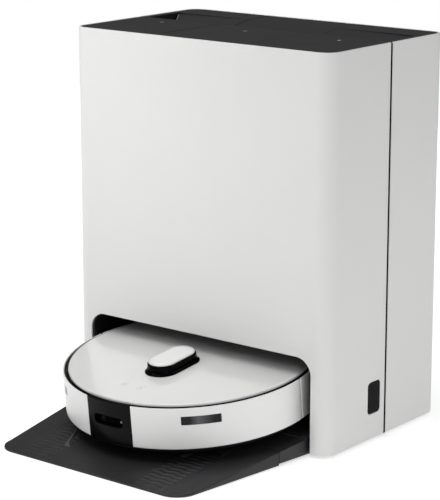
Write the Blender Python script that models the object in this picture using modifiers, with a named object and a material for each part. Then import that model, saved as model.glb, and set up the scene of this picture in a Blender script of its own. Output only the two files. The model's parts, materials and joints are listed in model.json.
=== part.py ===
"""Robot vacuum parked nose out on the ramp of its emptying and washing station."""
import math

import bmesh
import bpy
from mathutils import Matrix, Vector

# station envelope, metres: +Z up, -Y front, origin on the floor under the middle of the outline
HALF_W = 0.222
HEIGHT = 0.547
FRONT_Y = -0.0195
BACK_Y = 0.2525
RAMP_Y = -0.2525
WALL = 0.003
CORNER_R = 0.022
REAR_CORNER_R = 0.021
SEAM_FRONT = 0.1175
SEAM_BACK = 0.1222
SHELL_FOOT = 0.004
GARAGE_HALF = 0.195
GARAGE_TOP = 0.137
LIP_R = 0.024
DECK_TOP = 0.5465
DECK_THICK = 0.020
DECK_SPLIT = 0.0775
DECK_GAP = 0.0004
DECK_SKIN = 0.003
CHANNEL_FRONT = 0.1275
CHANNEL_BACK = 0.1981
CHANNEL_DEEP = 0.0125
CLEAR_ABOVE = 0.57
OUTER_TILT = 0.028
FIT = 0.0005

# what stands inside the station
LINER_T = 0.0025
LINER_HALF = 0.1915
LINER_ROOF = 0.1395
LINER_BACK = 0.1655
LINER_R = 0.0225
LINER_SILL = 0.0505
WINDOW_Y = (0.0775, 0.1075)
WINDOW_Z = (0.0400, 0.0855)
INLET_X = (0.1350, 0.1650)
INLET_Z = (0.0785, 0.1015)
PARTITION_X = (0.0785, 0.0805)
SHELF_Z = (0.3380, 0.3420)
TANK_X = (0.0815, 0.2125)
TANK_Y = (-0.0100, 0.2360)
TANK_Z = (0.3425, 0.5258)
TANK_WALL = 0.0022
TANK_FLOOR = 0.0030
BAG_HALF = 0.066
BAG_Y = (-0.004, 0.206)
BAG_Z = (0.262, 0.500)
BAG_CORNER = 0.010
BAG_WALL = 0.003
BAG_MOUTH = (0.0, 0.150)
MOTOR_Y = 0.060
DUCT_Y = 0.2245
PUMP_AT = (0.145, 0.080, 0.176)
CONTACT_X = (0.0220, 0.0380)

# inclined driving surface and the parked robot
PITCH = math.radians(6.0)
ROBOT_Y = -0.0229
PLANE_Z = 0.0270
ROBOT_Z = 0.0274
BASE_JOINT_Y = -0.0695

# robot, measured in its own upright frame from the ground plane
R_SIDE = 0.1777
R_INNER = 0.1730
R_PLATE = 0.1700
PLATE_TOP = 0.0820
BUMPER_LOW = 0.0210
BUMPER_TOP = 0.0768
LIP_TOP = 0.0788
LIP_INNER = 0.1763
BUMPER_END = 93.7
REAR_START = 94.8
TURRET_Y = -0.0400
WHEEL_R = 0.0320
WHEEL_Y = -0.0100
WHEEL_IN = 0.1065
WHEEL_OUT = 0.1285
SIDE_BRUSH_X = 0.098
SIDE_BRUSH_Y = -0.104
MOP_X = 0.0700
MOP_Y = 0.0800
MOP_R = 0.0660
BUTTON_X = 0.0143
BUTTON_Y = -0.1235
CASTER_Y = -0.1360
BRUSH_Y = -0.062
BRUSH_Z = 0.0215
WINDOW_TURN = (34.5, 51.6)
CONTACT_TURN = (6.0, 13.5)
NOSE_TURN = 12.0
TURN_FIT = 0.3
HULL = 0.19
HULL_TOP = 0.09
BIG_STEPS = 48

for old in list(bpy.data.objects):
    bpy.data.objects.remove(old, do_unlink=True)

PART = bpy.data.collections.new("robot_vacuum_and_station")
TOOLS = bpy.data.collections.new("cutters")
bpy.context.scene.collection.children.link(PART)
bpy.context.scene.collection.children.link(TOOLS)

ROBOT = bpy.data.objects.new("robot_pose", None)
ROBOT.location = (0.0, ROBOT_Y, ROBOT_Z)
ROBOT.rotation_euler = (PITCH, 0.0, 0.0)
PART.objects.link(ROBOT)


def finish(name, color, rough=0.5, metal=0.0):
    """A Principled material for one piece."""
    mat = bpy.data.materials.new(name)
    mat.use_nodes = True
    shader = mat.node_tree.nodes["Principled BSDF"]
    shader.inputs["Base Color"].default_value = (*color, 1.0)
    shader.inputs["Roughness"].default_value = rough
    shader.inputs["Metallic"].default_value = metal
    return mat


WHITE = (0.80, 0.80, 0.79)
CHARCOAL = (0.035, 0.035, 0.037)
BLACK = (0.008, 0.008, 0.008)
GREY = (0.30, 0.30, 0.31)
GREEN = (0.02, 0.12, 0.05)
BRASS = (0.78, 0.57, 0.22)


def adopt(obj, parent, look):
    """File an object as a piece (with a look) or as a cutter (without one)."""
    obj.parent = parent
    if look is None:
        TOOLS.objects.link(obj)
        obj.hide_render = True
        obj.display_type = "WIRE"
    else:
        PART.objects.link(obj)
        obj.data.materials.append(finish(obj.name + "_finish", *look))
    return obj


def put(name, bm, parent=None, look=None, pivot=(0.0, 0.0, 0.0)):
    """Make an object from a bmesh, with its origin on the pivot."""
    bmesh.ops.recalc_face_normals(bm, faces=bm.faces)
    if bm.calc_volume(signed=True) < 0.0:
        bmesh.ops.reverse_faces(bm, faces=bm.faces)
    bmesh.ops.translate(bm, vec=-Vector(pivot), verts=bm.verts)
    mesh = bpy.data.meshes.new(name)
    bm.to_mesh(mesh)
    bm.free()
    obj = bpy.data.objects.new(name, mesh)
    obj.location = pivot
    return adopt(obj, parent, look)


def turned(name, profile, steps, at=(0.0, 0.0, 0.0), axis="Z", parent=None, look=None):
    """Spin a (radius, height) profile about an axis through the given place."""
    mesh = bpy.data.meshes.new(name)
    points = []
    for radius, height in profile:
        point = {"X": (height, radius, 0.0), "Y": (radius, height, 0.0), "Z": (radius, 0.0, height)}[axis]
        points.append(point)
    edges = [(i, i + 1) for i in range(len(points) - 1)]
    if profile[0][0] > 0.0:
        edges.append((len(points) - 1, 0))
    mesh.from_pydata(points, edges, [])
    obj = bpy.data.objects.new(name, mesh)
    obj.location = at
    screw = obj.modifiers.new("turn", "SCREW")
    screw.axis = axis
    screw.steps = steps
    screw.render_steps = steps
    screw.use_merge_vertices = True
    screw.merge_threshold = 0.00005
    return adopt(obj, parent, look)


def combine(obj, other, operation):
    """Boolean another object into or out of a piece."""
    mod = obj.modifiers.new(operation.lower() + "_" + other.name, "BOOLEAN")
    mod.operation = operation
    mod.solver = "EXACT"
    mod.object = other
    return obj


def cut(obj, *others):
    for other in others:
        combine(obj, other, "DIFFERENCE")
    return obj


def add(obj, *others):
    for other in others:
        combine(obj, other, "UNION")
    return obj


def box(bm, x0, x1, y0, y1, z0, z1):
    """An axis-aligned block between two corners."""
    size = Vector((x1 - x0, y1 - y0, z1 - z0))
    middle = Vector((x0 + x1, y0 + y1, z0 + z1)) / 2
    matrix = Matrix.Translation(middle) @ Matrix.Diagonal((*size, 1.0))
    bmesh.ops.create_cube(bm, size=1.0, matrix=matrix)
    return bm


def blocks(*extents):
    bm = bmesh.new()
    for extent in extents:
        box(bm, *extent)
    return bm


def prism(outline, low, high, axis="z"):
    """Extrude a flat outline; the outline holds the other two coordinates in order."""
    curve = bpy.data.curves.new("outline", "CURVE")
    curve.dimensions = "2D"
    curve.fill_mode = "BOTH"
    curve.extrude = (high - low) / 2
    spline = curve.splines.new("POLY")
    spline.points.add(len(outline) - 1)
    for point, (a, b) in zip(spline.points, outline):
        point.co = (a, b, 0.0, 1.0)
    spline.use_cyclic_u = True
    holder = bpy.data.objects.new("outline", curve)
    bpy.context.scene.collection.objects.link(holder)
    depsgraph = bpy.context.evaluated_depsgraph_get()
    mesh = bpy.data.meshes.new_from_object(holder.evaluated_get(depsgraph))
    bm = bmesh.new()
    bm.from_mesh(mesh)
    bpy.data.objects.remove(holder, do_unlink=True)
    bmesh.ops.remove_doubles(bm, verts=bm.verts, dist=0.00001)
    bmesh.ops.dissolve_limit(bm, angle_limit=0.001, verts=bm.verts, edges=bm.edges)
    middle = (low + high) / 2
    for vert in bm.verts:
        a, b, c = vert.co
        c += middle
        vert.co = {"x": (c, a, b), "y": (a, c, b), "z": (a, b, c)}[axis]
    return bm


def disc(name, radius, low, high, steps, centre=(0.0, 0.0), parent=None, look=None, chamfer=0.0):
    """A short upright cylinder standing on its own base, with an optional chamfer."""
    tall = high - low
    rim = [(radius, tall), (radius, 0.0)]
    if chamfer:
        rim = [(radius - chamfer, tall), (radius, tall - chamfer)]
        rim += [(radius, chamfer), (radius - chamfer, 0.0)]
    return turned(name, [(0.0, tall)] + rim + [(0.0, 0.0)], steps, (*centre, low), "Z", parent, look)


def band(r0, r1, z0, z1, start, end, steps):
    """A curved bar about the upright axis; degrees count from the front towards +X."""
    outline = arc(0.0, 0.0, r1, start - 90, end - 90, steps)
    outline += arc(0.0, 0.0, r0, end - 90, start - 90, steps)
    return prism(outline, z0, z1)


def pill(half_x, half_y, low, high):
    """A slot-shaped prism, longer front to back, centred on the turret."""
    steps = 8
    reach = half_y - half_x
    outline = []
    for middle, offset in ((reach, 0.0), (-reach, math.pi)):
        for i in range(steps + 1):
            angle = offset + math.pi * i / steps
            outline.append((half_x * math.cos(angle), TURRET_Y + middle + half_x * math.sin(angle)))
    return prism(outline, low, high)


def arc(cx, cy, radius, start, end, steps):
    points = []
    for i in range(steps + 1):
        angle = math.radians(start + (end - start) * i / steps)
        points.append((cx + radius * math.cos(angle), cy + radius * math.sin(angle)))
    return points


def incline(bm):
    """Shear heights measured from the driving surface up onto that surface."""
    for vert in bm.verts:
        vert.co.z += PLANE_Z + math.tan(PITCH) * (vert.co.y - ROBOT_Y)
    return bm


def mirrored(points):
    return points + [(-x, y) for x, y in reversed(points)]


# ---------------------------------------------------------------- station floor

RAMP_SIDE = [(0.1341, RAMP_Y), (0.1443, -0.2505), (0.1534, -0.2449), (0.16005, -0.23645),
             (0.1632, -0.2265), (0.1820, BASE_JOINT_Y - FIT)]
BASE_SIDE = [(0.1821, BASE_JOINT_Y + FIT), (0.1881, FRONT_Y), (0.1890, 0.0), (0.1900, 0.246)]


def flank_bevel(side, y0, y1):
    """Tool that lets one flank of the driving surface fall away outwards, 4.1 mm in 72 mm."""
    outline = [(side * 0.128, 0.0), (side * 0.200, -0.0041), (side * 0.200, 0.010), (side * 0.128, 0.010)]
    return incline(prism(outline, y0, y1, "y"))


def build_base():
    base = put("base_plate", incline(prism(mirrored(BASE_SIDE), -0.060, 0.0)), look=(CHARCOAL, 0.45))
    cut(base, put("cut_base_floor", blocks((-0.3, 0.3, -0.2, 0.4, -0.2, 0.003))))
    cut(base, put("cut_base_hollow_front", blocks((-0.125, 0.125, -0.056, 0.020, -0.01, 0.0165))))
    cut(base, put("cut_base_hollow_rear", blocks((-0.125, 0.125, 0.030, 0.236, -0.01, 0.0215))))
    tray = incline(blocks((-0.1455, 0.1455, -0.0105, 0.1285, -0.0090, 0.02)))
    cut(base, put("cut_base_tray", tray))
    for side, tag in ((-1, "left"), (1, "right")):
        cut(base, put("cut_base_bevel_" + tag, flank_bevel(side, -0.080, -0.0205)))


def build_ramp():
    ramp = put("ramp", incline(prism(mirrored(RAMP_SIDE), -0.060, 0.0)), look=(CHARCOAL, 0.45))
    cut(ramp, put("cut_ramp_floor", blocks((-0.3, 0.3, -0.4, 0.1, -0.2, 0.0008))))
    for side, tag in ((-1, "left"), (1, "right")):
        cut(ramp, put("cut_ramp_bevel_" + tag, flank_bevel(side, -0.2300, -0.0600)))
        inner, outer = sorted((side * 0.079, side * 0.1245))
        bars = blocks(*[(inner, outer, y, y + 0.006, -0.0010, 0.0010)
                        for y in (-0.236 + 0.015 * i for i in range(7))])
        add(ramp, put("add_ramp_treads_" + tag, incline(bars)))
        fin = prism([(side * 0.0720, -0.2025), (side * 0.0800, -0.2000), (side * 0.1080, -0.1470),
                     (side * 0.1030, -0.1465)], -0.0010, 0.0040)
        for vert in fin.verts:
            if vert.co.z > 0 and vert.co.y > -0.18:
                vert.co.z = 0.0010
        add(ramp, put("add_ramp_fin_" + tag, incline(fin)))


def build_tray():
    tray = put("wash_tray", incline(blocks((-0.145, 0.145, -0.0100, 0.1280, -0.0086, -0.0006))),
               look=(GREY, 0.5))
    bowl = blocks((-0.139, 0.139, -0.0045, 0.1225, -0.0066, 0.01))
    cut(tray, put("cut_tray_bowl", incline(bowl)))
    for side, tag in ((-1, "left"), (1, "right")):
        ribs = [(side * MOP_X - 0.050, side * MOP_X + 0.050, y, y + 0.003, -0.0070, -0.0012)
                for y in (0.012 + 0.022 * i for i in range(5))]
        add(tray, put("add_tray_ribs_" + tag, incline(blocks(*ribs))))


def build_feet():
    for tag, x, y in (("front_left", -0.150, -0.045), ("front_right", 0.150, -0.045),
                      ("rear_left", -0.155, 0.222), ("rear_right", 0.155, 0.222)):
        disc("foot_" + tag, 0.011, 0.0, 0.0027, 12, (x, y), look=((0.02, 0.02, 0.02), 0.9))


# ---------------------------------------------------------------- station walls

def wall_outline(front, back, radius, inset, round_front):
    """Three-sided wall in plan, open at the seam."""
    half = HALF_W - inset
    if round_front:
        y = front + inset
        r = radius - inset
        right = arc(half - r, y + r, r, 0.0, -90.0, 6)
        return [(half, back)] + right + [(-x, py) for x, py in reversed(right)] + [(-half, back)]
    y = back - inset
    r = radius - inset
    right = arc(half - r, y - r, r, 0.0, 90.0, 6)
    return [(half, front)] + right + [(-x, py) for x, py in reversed(right)] + [(-half, front)]


def build_shells():
    outer = wall_outline(FRONT_Y, SEAM_FRONT, CORNER_R, 0.0, True)
    inner = wall_outline(FRONT_Y, SEAM_FRONT, CORNER_R, WALL, True)
    front = put("front_shell", prism(outer + inner[::-1], SHELL_FOOT, HEIGHT), look=(WHITE, 0.38))
    r = LIP_R
    mouth = [(GARAGE_HALF, -0.05)] + arc(GARAGE_HALF - r, GARAGE_TOP - r, r, 0, 90, 6)
    mouth = mirrored(mouth)
    cut(front, put("cut_garage_mouth", prism(mouth, -0.10, 0.0, "y")))
    cut(front, put("cut_side_window", blocks((0.21, 0.23, *WINDOW_Y, *WINDOW_Z))))
    outer = wall_outline(SEAM_BACK, BACK_Y, REAR_CORNER_R, 0.0, False)
    inner = wall_outline(SEAM_BACK, BACK_Y, REAR_CORNER_R, WALL, False)
    rear = put("rear_shell", prism(outer + inner[::-1], SHELL_FOOT, HEIGHT), look=(WHITE, 0.38))
    inlet = blocks((INLET_X[0] - FIT, INLET_X[1] + FIT, 0.24, 0.26, INLET_Z[0] - FIT, INLET_Z[1] + FIT))
    cut(rear, put("cut_inlet", inlet))
    flange = blocks((0.2165, 0.2186, WINDOW_Y[0] - 0.003, WINDOW_Y[1] + 0.003,
                     WINDOW_Z[0] - 0.003, WINDOW_Z[1] + 0.003))
    window = put("side_window", flange, look=(BLACK, 0.08))
    face = blocks((0.2180, 0.2206, WINDOW_Y[0] + FIT, WINDOW_Y[1] - FIT,
                   WINDOW_Z[0] + FIT, WINDOW_Z[1] - FIT))
    add(window, put("add_window_face", face))


def build_liner():
    """Dark inner hood of the garage: side walls, roof and back wall, open below and in front."""
    centre_x = LINER_HALF - LINER_R
    centre_z = LINER_ROOF - LINER_R
    outer = [(LINER_HALF + LINER_T, SHELL_FOOT + 0.0002)]
    outer += arc(centre_x, centre_z, LINER_R + LINER_T, 0, 90, 5)
    liner = put("garage_liner", prism(mirrored(outer), FRONT_Y + WALL + FIT, LINER_BACK, "y"),
                look=(BLACK, 0.5))
    hollow = [(LINER_HALF, -0.05)] + arc(centre_x, centre_z, LINER_R, 0, 90, 5)
    cut(liner, put("cut_liner_hollow", prism(mirrored(hollow), -0.10, LINER_BACK - LINER_T, "y")))
    cut(liner, put("cut_liner_sill", blocks((-0.193, 0.193, 0.1500, 0.20, -0.01, LINER_SILL))))
    x0, x1 = CONTACT_X[0] - FIT, CONTACT_X[1] + FIT
    holes = blocks((-x1, -x0, 0.15, 0.18, 0.0815, 0.0965), (x0, x1, 0.15, 0.18, 0.0815, 0.0965))
    cut(liner, put("cut_liner_contacts", holes))


def build_core():
    core = put("core_frame", blocks((-0.2150, 0.2150, 0.0040, 0.2400, 0.1455, 0.1495)),
               look=((0.012, 0.012, 0.012), 0.6))
    for side, tag in ((-1, "left"), (1, "right")):
        pieces = {
            "post": (side * 0.2145, side * 0.2185, 0.1115, 0.1360, SHELL_FOOT, 0.5250),
            "partition": (side * PARTITION_X[0], side * PARTITION_X[1], -0.0120, 0.2430, 0.1475, 0.5200),
            "shelf": (side * 0.0795, side * 0.2165, 0.0040, 0.2380, *SHELF_Z),
        }
        for kind, (x0, x1, y0, y1, z0, z1) in pieces.items():
            x0, x1 = sorted((x0, x1))
            add(core, put("add_core_" + kind + "_" + tag, blocks((x0, x1, y0, y1, z0, z1))))


# ---------------------------------------------------------------- tanks and deck

def channel(x0, x1, tilt):
    """The finger channel: deep at its front edge, rising to the deck, sinking towards the flank."""
    section = [(CHANNEL_FRONT, DECK_TOP - CHANNEL_DEEP), (CHANNEL_BACK, DECK_TOP),
               (CHANNEL_BACK, CLEAR_ABOVE), (CHANNEL_FRONT, CLEAR_ABOVE)]
    bm = prism(section, x0, x1, "x")
    for vert in bm.verts:
        if vert.co.z < DECK_TOP + 0.001:
            vert.co.z -= tilt * (abs(vert.co.x) - DECK_SPLIT)
    return bm


def lid_outline(side):
    """Outer deck section in plan, rounded where the walls are rounded."""
    half = HALF_W - WALL - FIT
    front = FRONT_Y + WALL + FIT
    back = BACK_Y - WALL - FIT
    r = CORNER_R - WALL - FIT
    rb = REAR_CORNER_R - WALL - FIT
    split = DECK_SPLIT + DECK_GAP
    points = [(split, front)] + arc(half - r, front + r, r, -90, 0, 5)
    points += arc(half - rb, back - rb, rb, 0, 90, 5) + [(split, back)]
    return [(side * x, y) for x, y in points]


def build_tank(side, tag, color):
    """An open-topped tank with thin walls."""
    x0, x1 = sorted((side * TANK_X[0], side * TANK_X[1]))
    tank = put(tag, blocks((x0, x1, *TANK_Y, *TANK_Z)), look=(color, 0.25))
    wall = TANK_WALL
    inside = blocks((x0 + wall, x1 - wall, TANK_Y[0] + wall, TANK_Y[1] - wall,
                     TANK_Z[0] + TANK_FLOOR, 0.60))
    cut(tank, put("cut_" + tag, inside))


def build_outer_lid(side, tag):
    hinge = (side * 0.148, BACK_Y - WALL - 0.001, DECK_TOP)
    low = DECK_TOP - DECK_THICK
    lid = put(tag, prism(lid_outline(side), low, DECK_TOP), look=(CHARCOAL, 0.4), pivot=hinge)
    x0, x1 = sorted((side * 0.1600, side * 0.2092))
    add(lid, put("add_cup_" + tag, blocks((x0, x1, 0.1285, 0.1955, 0.5000, low + 0.002))))
    x0, x1 = sorted((side * 0.0850, side * 0.2080))
    cut(lid, put("cut_under_" + tag, blocks((x0, x1, -0.0060, 0.1200, 0.50, DECK_TOP - DECK_SKIN))))
    cut(lid, put("cut_rear_" + tag, blocks((x0, x1, 0.2020, 0.2380, 0.50, DECK_TOP - DECK_SKIN))))
    x0, x1 = sorted((side * 0.0700, side * 0.2070))
    cut(lid, put("cut_channel_" + tag, channel(x0, x1, OUTER_TILT)))
    hole = [(side * 0.1630, 0.1315), (side * 0.2050, 0.1925), (side * 0.2070, 0.1925),
            (side * 0.2070, 0.1315)]
    cut(lid, put("cut_grip_" + tag, prism(hole, 0.5025, CLEAR_ABOVE)))


def build_bag_door():
    low = DECK_TOP - DECK_THICK
    front = FRONT_Y + WALL + FIT
    back = BACK_Y - WALL - FIT
    half = DECK_SPLIT - DECK_GAP
    hinge = (0.0, BACK_Y - WALL - 0.001, DECK_TOP)
    door = put("bag_door", blocks((-half, half, front, back, low, DECK_TOP)), look=(CHARCOAL, 0.4),
               pivot=hinge)
    cut(door, put("cut_under_door", blocks((-0.070, 0.070, -0.006, 0.120, 0.50, DECK_TOP - DECK_SKIN),
                                           (-0.070, 0.070, 0.202, 0.238, 0.50, DECK_TOP - DECK_SKIN))))
    cut(door, put("cut_channel_door", channel(-0.09, 0.09, 0.0)))


# ---------------------------------------------------------------- station workings

def bag_outline(wall):
    """Plan of the dust bag with cut corners, drawn in by the wall."""
    half = BAG_HALF - wall
    front = BAG_Y[0] + wall
    back = BAG_Y[1] - wall
    corner = BAG_CORNER
    return [(-half, front + corner), (-half + corner, front), (half - corner, front), (half, front + corner),
            (half, back - corner), (half - corner, back), (-half + corner, back), (-half, back - corner)]


def build_bag():
    bag = put("dust_bag", prism(bag_outline(0.0), *BAG_Z), look=((0.62, 0.60, 0.55), 0.95))
    room = prism(bag_outline(BAG_WALL), BAG_Z[0] + BAG_WALL, BAG_Z[1] - BAG_WALL)
    cut(bag, put("cut_bag_room", room))
    cut(bag, disc("cut_bag_mouth", 0.018, 0.480, 0.52, 12, BAG_MOUTH))


def build_suction():
    """Motor housing, impeller with six blades, and the upright air duct."""
    motor = [(0.0, 0.158), (0.046, 0.158), (0.046, 0.236), (0.050, 0.236), (0.050, 0.1535), (0.0, 0.1535)]
    turned("suction_motor", motor, 24, (0.0, MOTOR_Y, 0.0), look=((0.02, 0.02, 0.02), 0.5))
    wheel = disc("suction_impeller", 0.040, 0.196, 0.200, 24, (0.0, MOTOR_Y), look=(GREY, 0.4))
    blades = bmesh.new()
    for i in range(6):
        blade = blocks((0.010, 0.038, MOTOR_Y - 0.001, MOTOR_Y + 0.001, 0.1990, 0.2250))
        bmesh.ops.rotate(blade, cent=(0, MOTOR_Y, 0), matrix=Matrix.Rotation(math.pi * i / 3, 3, "Z"),
                         verts=blade.verts)
        mesh = bpy.data.meshes.new("blade")
        blade.to_mesh(mesh)
        blade.free()
        blades.from_mesh(mesh)
        bpy.data.meshes.remove(mesh)
    add(wheel, put("add_blades", blades))
    tube = [(0.0115, 0.440), (0.0140, 0.440), (0.0140, 0.152), (0.0115, 0.152)]
    turned("air_duct", tube, 16, (0.0, DUCT_Y, 0.0), look=(GREY, 0.5))


def build_pumps():
    pump = [(0.0, 0.030), (0.020, 0.030), (0.022, 0.026), (0.022, -0.026), (0.010, -0.026),
            (0.010, -0.034), (0.0, -0.034)]
    x, y, z = PUMP_AT
    turned("clean_pump", pump, 16, (-x, y, z), "Y", look=(GREY, 0.4))
    turned("dirty_pump", pump, 16, (x, y, z), "Y", look=((0.1, 0.1, 0.1), 0.4))


def build_station_electrics():
    """Control board, power supply, mains inlet and the two charging contacts."""
    board = put("station_board", blocks((-0.205, -0.092, -0.0095, -0.0078, 0.160, 0.320)),
                look=(GREEN, 0.4))
    chips = blocks((-0.190, -0.160, -0.0080, -0.0040, 0.250, 0.280),
                   (-0.150, -0.120, -0.0080, -0.0020, 0.200, 0.225),
                   (-0.140, -0.105, -0.0080, 0.0060, 0.285, 0.300))
    add(board, put("add_board_chips", chips))
    supply = put("power_supply", blocks((0.095, 0.200, 0.140, 0.232, 0.1520, 0.2050)),
                 look=((0.25, 0.25, 0.26), 0.4, 0.6))
    slots = [(0.105 + 0.014 * i, 0.111 + 0.014 * i, 0.150, 0.222, 0.2020, 0.21) for i in range(6)]
    cut(supply, put("cut_supply_slots", blocks(*slots)))
    inlet = put("power_inlet", blocks((*INLET_X, 0.2250, 0.2522, *INLET_Z)),
                look=((0.01, 0.01, 0.01), 0.5))
    rim = 0.004
    well = blocks((INLET_X[0] + rim, INLET_X[1] - rim, 0.2330, 0.26, INLET_Z[0] + rim, INLET_Z[1] - rim))
    cut(inlet, put("cut_inlet_well", well))
    pins = blocks((0.1435, 0.1465, 0.2320, 0.2490, 0.0885, 0.0915),
                  (0.1535, 0.1565, 0.2320, 0.2490, 0.0885, 0.0915))
    add(inlet, put("add_inlet_pins", pins))
    for side, tag in ((-1, "left"), (1, "right")):
        x0, x1 = sorted((side * CONTACT_X[0], side * CONTACT_X[1]))
        put("charge_contact_" + tag, blocks((x0, x1, 0.1492, 0.1690, 0.0820, 0.0960)),
            look=(BRASS, 0.3, 1.0), pivot=((x0 + x1) / 2, 0.160, 0.089))


# ---------------------------------------------------------------- robot body

def build_chassis():
    profile = [(0.0, 0.0155), (0.1635, 0.0155), (0.1635, 0.0765), (0.1665, 0.0765), (0.1665, 0.0200),
               (0.1710, 0.0200), (0.1710, 0.0170), (0.1660, 0.0120), (0.0, 0.0120)]
    chassis = turned("chassis", profile, BIG_STEPS, parent=ROBOT, look=(BLACK, 0.5))
    wells = blocks((-0.1330, -0.0880, -0.064, 0.026, 0.0, 0.018),
                   (0.0880, 0.1330, -0.064, 0.026, 0.0, 0.018),
                   (-0.0840, 0.0840, -0.0840, -0.0400, 0.0, 0.018))
    cut(chassis, put("cut_wheel_wells", wells, ROBOT))
    cut(chassis, disc("cut_caster_well", 0.0260, 0.0, 0.020, 16, (0.0, CASTER_Y), ROBOT))
    for tag, x, y in (("side_brush", SIDE_BRUSH_X, SIDE_BRUSH_Y), ("mop_left", -MOP_X, MOP_Y),
                      ("mop_right", MOP_X, MOP_Y)):
        cut(chassis, disc("cut_hole_" + tag, 0.0120, 0.0, 0.020, 12, (x, y), ROBOT))


def pocket(name, r0, z0, z1, start, end, steps):
    """A tool that cuts a shallow pocket in the robot's flank between two angles, either way round."""
    return put(name, band(r0, HULL, z0, z1, *sorted((start, end)), steps), ROBOT)


def build_sides():
    """Bumper and rear wall, each with a thin raised lip outside a lower ledge, and what sits in them."""
    rear = put("rear_side_wall", band(R_INNER, R_SIDE, BUMPER_LOW, LIP_TOP, REAR_START,
                                      360 - REAR_START, 24), ROBOT, (WHITE, 0.3))
    cut(rear, put("cut_rear_ledge", band(0.160, LIP_INNER, BUMPER_TOP, HULL_TOP, 90, 270, 25), ROBOT))
    bumper = put("bumper", band(R_INNER, R_SIDE, BUMPER_LOW, LIP_TOP, -BUMPER_END, BUMPER_END, 28),
                 ROBOT, (WHITE, 0.3))
    cut(bumper, put("cut_bumper_ledge", band(0.160, LIP_INNER, BUMPER_TOP, HULL_TOP, -98, 98, 29), ROBOT))
    nose = NOSE_TURN + TURN_FIT
    cut(bumper, pocket("cut_bumper_camera", 0.1751, 0.0155, HULL_TOP, -nose, nose, 5))
    block = put("camera_block", band(0.1755, 0.1783, 0.0212, 0.0806, -NOSE_TURN, NOSE_TURN, 6), ROBOT,
                (BLACK, 0.06))
    cut(block, pocket("cut_camera_slot", 0.1770, 0.0455, 0.0590, -8.0, 8.0, 4))
    for side, tag in ((-1, "left"), (1, "right")):
        low, high = (side * turn for turn in WINDOW_TURN)
        fit = side * TURN_FIT
        cut(bumper, pocket("cut_window_" + tag, 0.1755, 0.0552, 0.0678, low - fit, high + fit, 4))
        put("bumper_window_" + tag, band(0.1759, 0.1775, 0.0555, 0.0675, *sorted((low, high)), 4), ROBOT,
            (BLACK, 0.06))
        low, high = (180 + side * turn for turn in CONTACT_TURN)
        cut(rear, pocket("cut_charge_" + tag, 0.1755, 0.0560, 0.0700, low - fit, high + fit, 2))
        put("charge_plate_" + tag, band(0.1759, 0.1774, 0.0563, 0.0697, *sorted((low, high)), 2), ROBOT,
            (BRASS, 0.25, 1.0))


def build_top():
    profile = [(0.0, PLATE_TOP), (0.1688, PLATE_TOP), (R_PLATE, 0.0810), (R_PLATE, 0.0772),
               (0.1668, 0.0772), (0.1668, 0.0795), (0.0, 0.0795)]
    plate = turned("top_plate", profile, BIG_STEPS, parent=ROBOT, look=(WHITE, 0.25))
    trim = [(0.1704, 0.0795), (0.1722, 0.0795), (0.1722, 0.0772), (0.1704, 0.0772)]
    turned("top_ring", trim, BIG_STEPS, parent=ROBOT, look=(BLACK, 0.3))
    for tag, x in (("power", -BUTTON_X), ("home", BUTTON_X)):
        cut(plate, disc("cut_" + tag, 0.0064, 0.070, HULL_TOP, 14, (x, BUTTON_Y), ROBOT))
        disc(tag + "_button", 0.0060, 0.0785, 0.0821, 14, (x, BUTTON_Y), ROBOT, (WHITE, 0.25))
    turret = put("turret_base", pill(0.0270, 0.0470, 0.0824, 0.0842), ROBOT, (BLACK, 0.3))
    add(turret, put("add_turret_wall", pill(0.0225, 0.0425, 0.0835, 0.0945), ROBOT))
    cut(turret, disc("cut_turret_well", 0.0195, 0.0850, 0.1, 20, (0.0, TURRET_Y), ROBOT))
    disc("lidar_rotor", 0.0185, 0.0854, 0.0940, 20, (0.0, TURRET_Y), ROBOT, (GREY, 0.3), 0.001)
    cap = put("turret_cap", pill(0.0240, 0.0395, 0.0949, 0.0988), ROBOT, (WHITE, 0.25))
    bevel = cap.modifiers.new("edge", "BEVEL")
    bevel.width = 0.0012
    bevel.segments = 1
    bevel.limit_method = "ANGLE"
    bevel.angle_limit = math.radians(40)


# ---------------------------------------------------------------- robot workings

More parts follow.
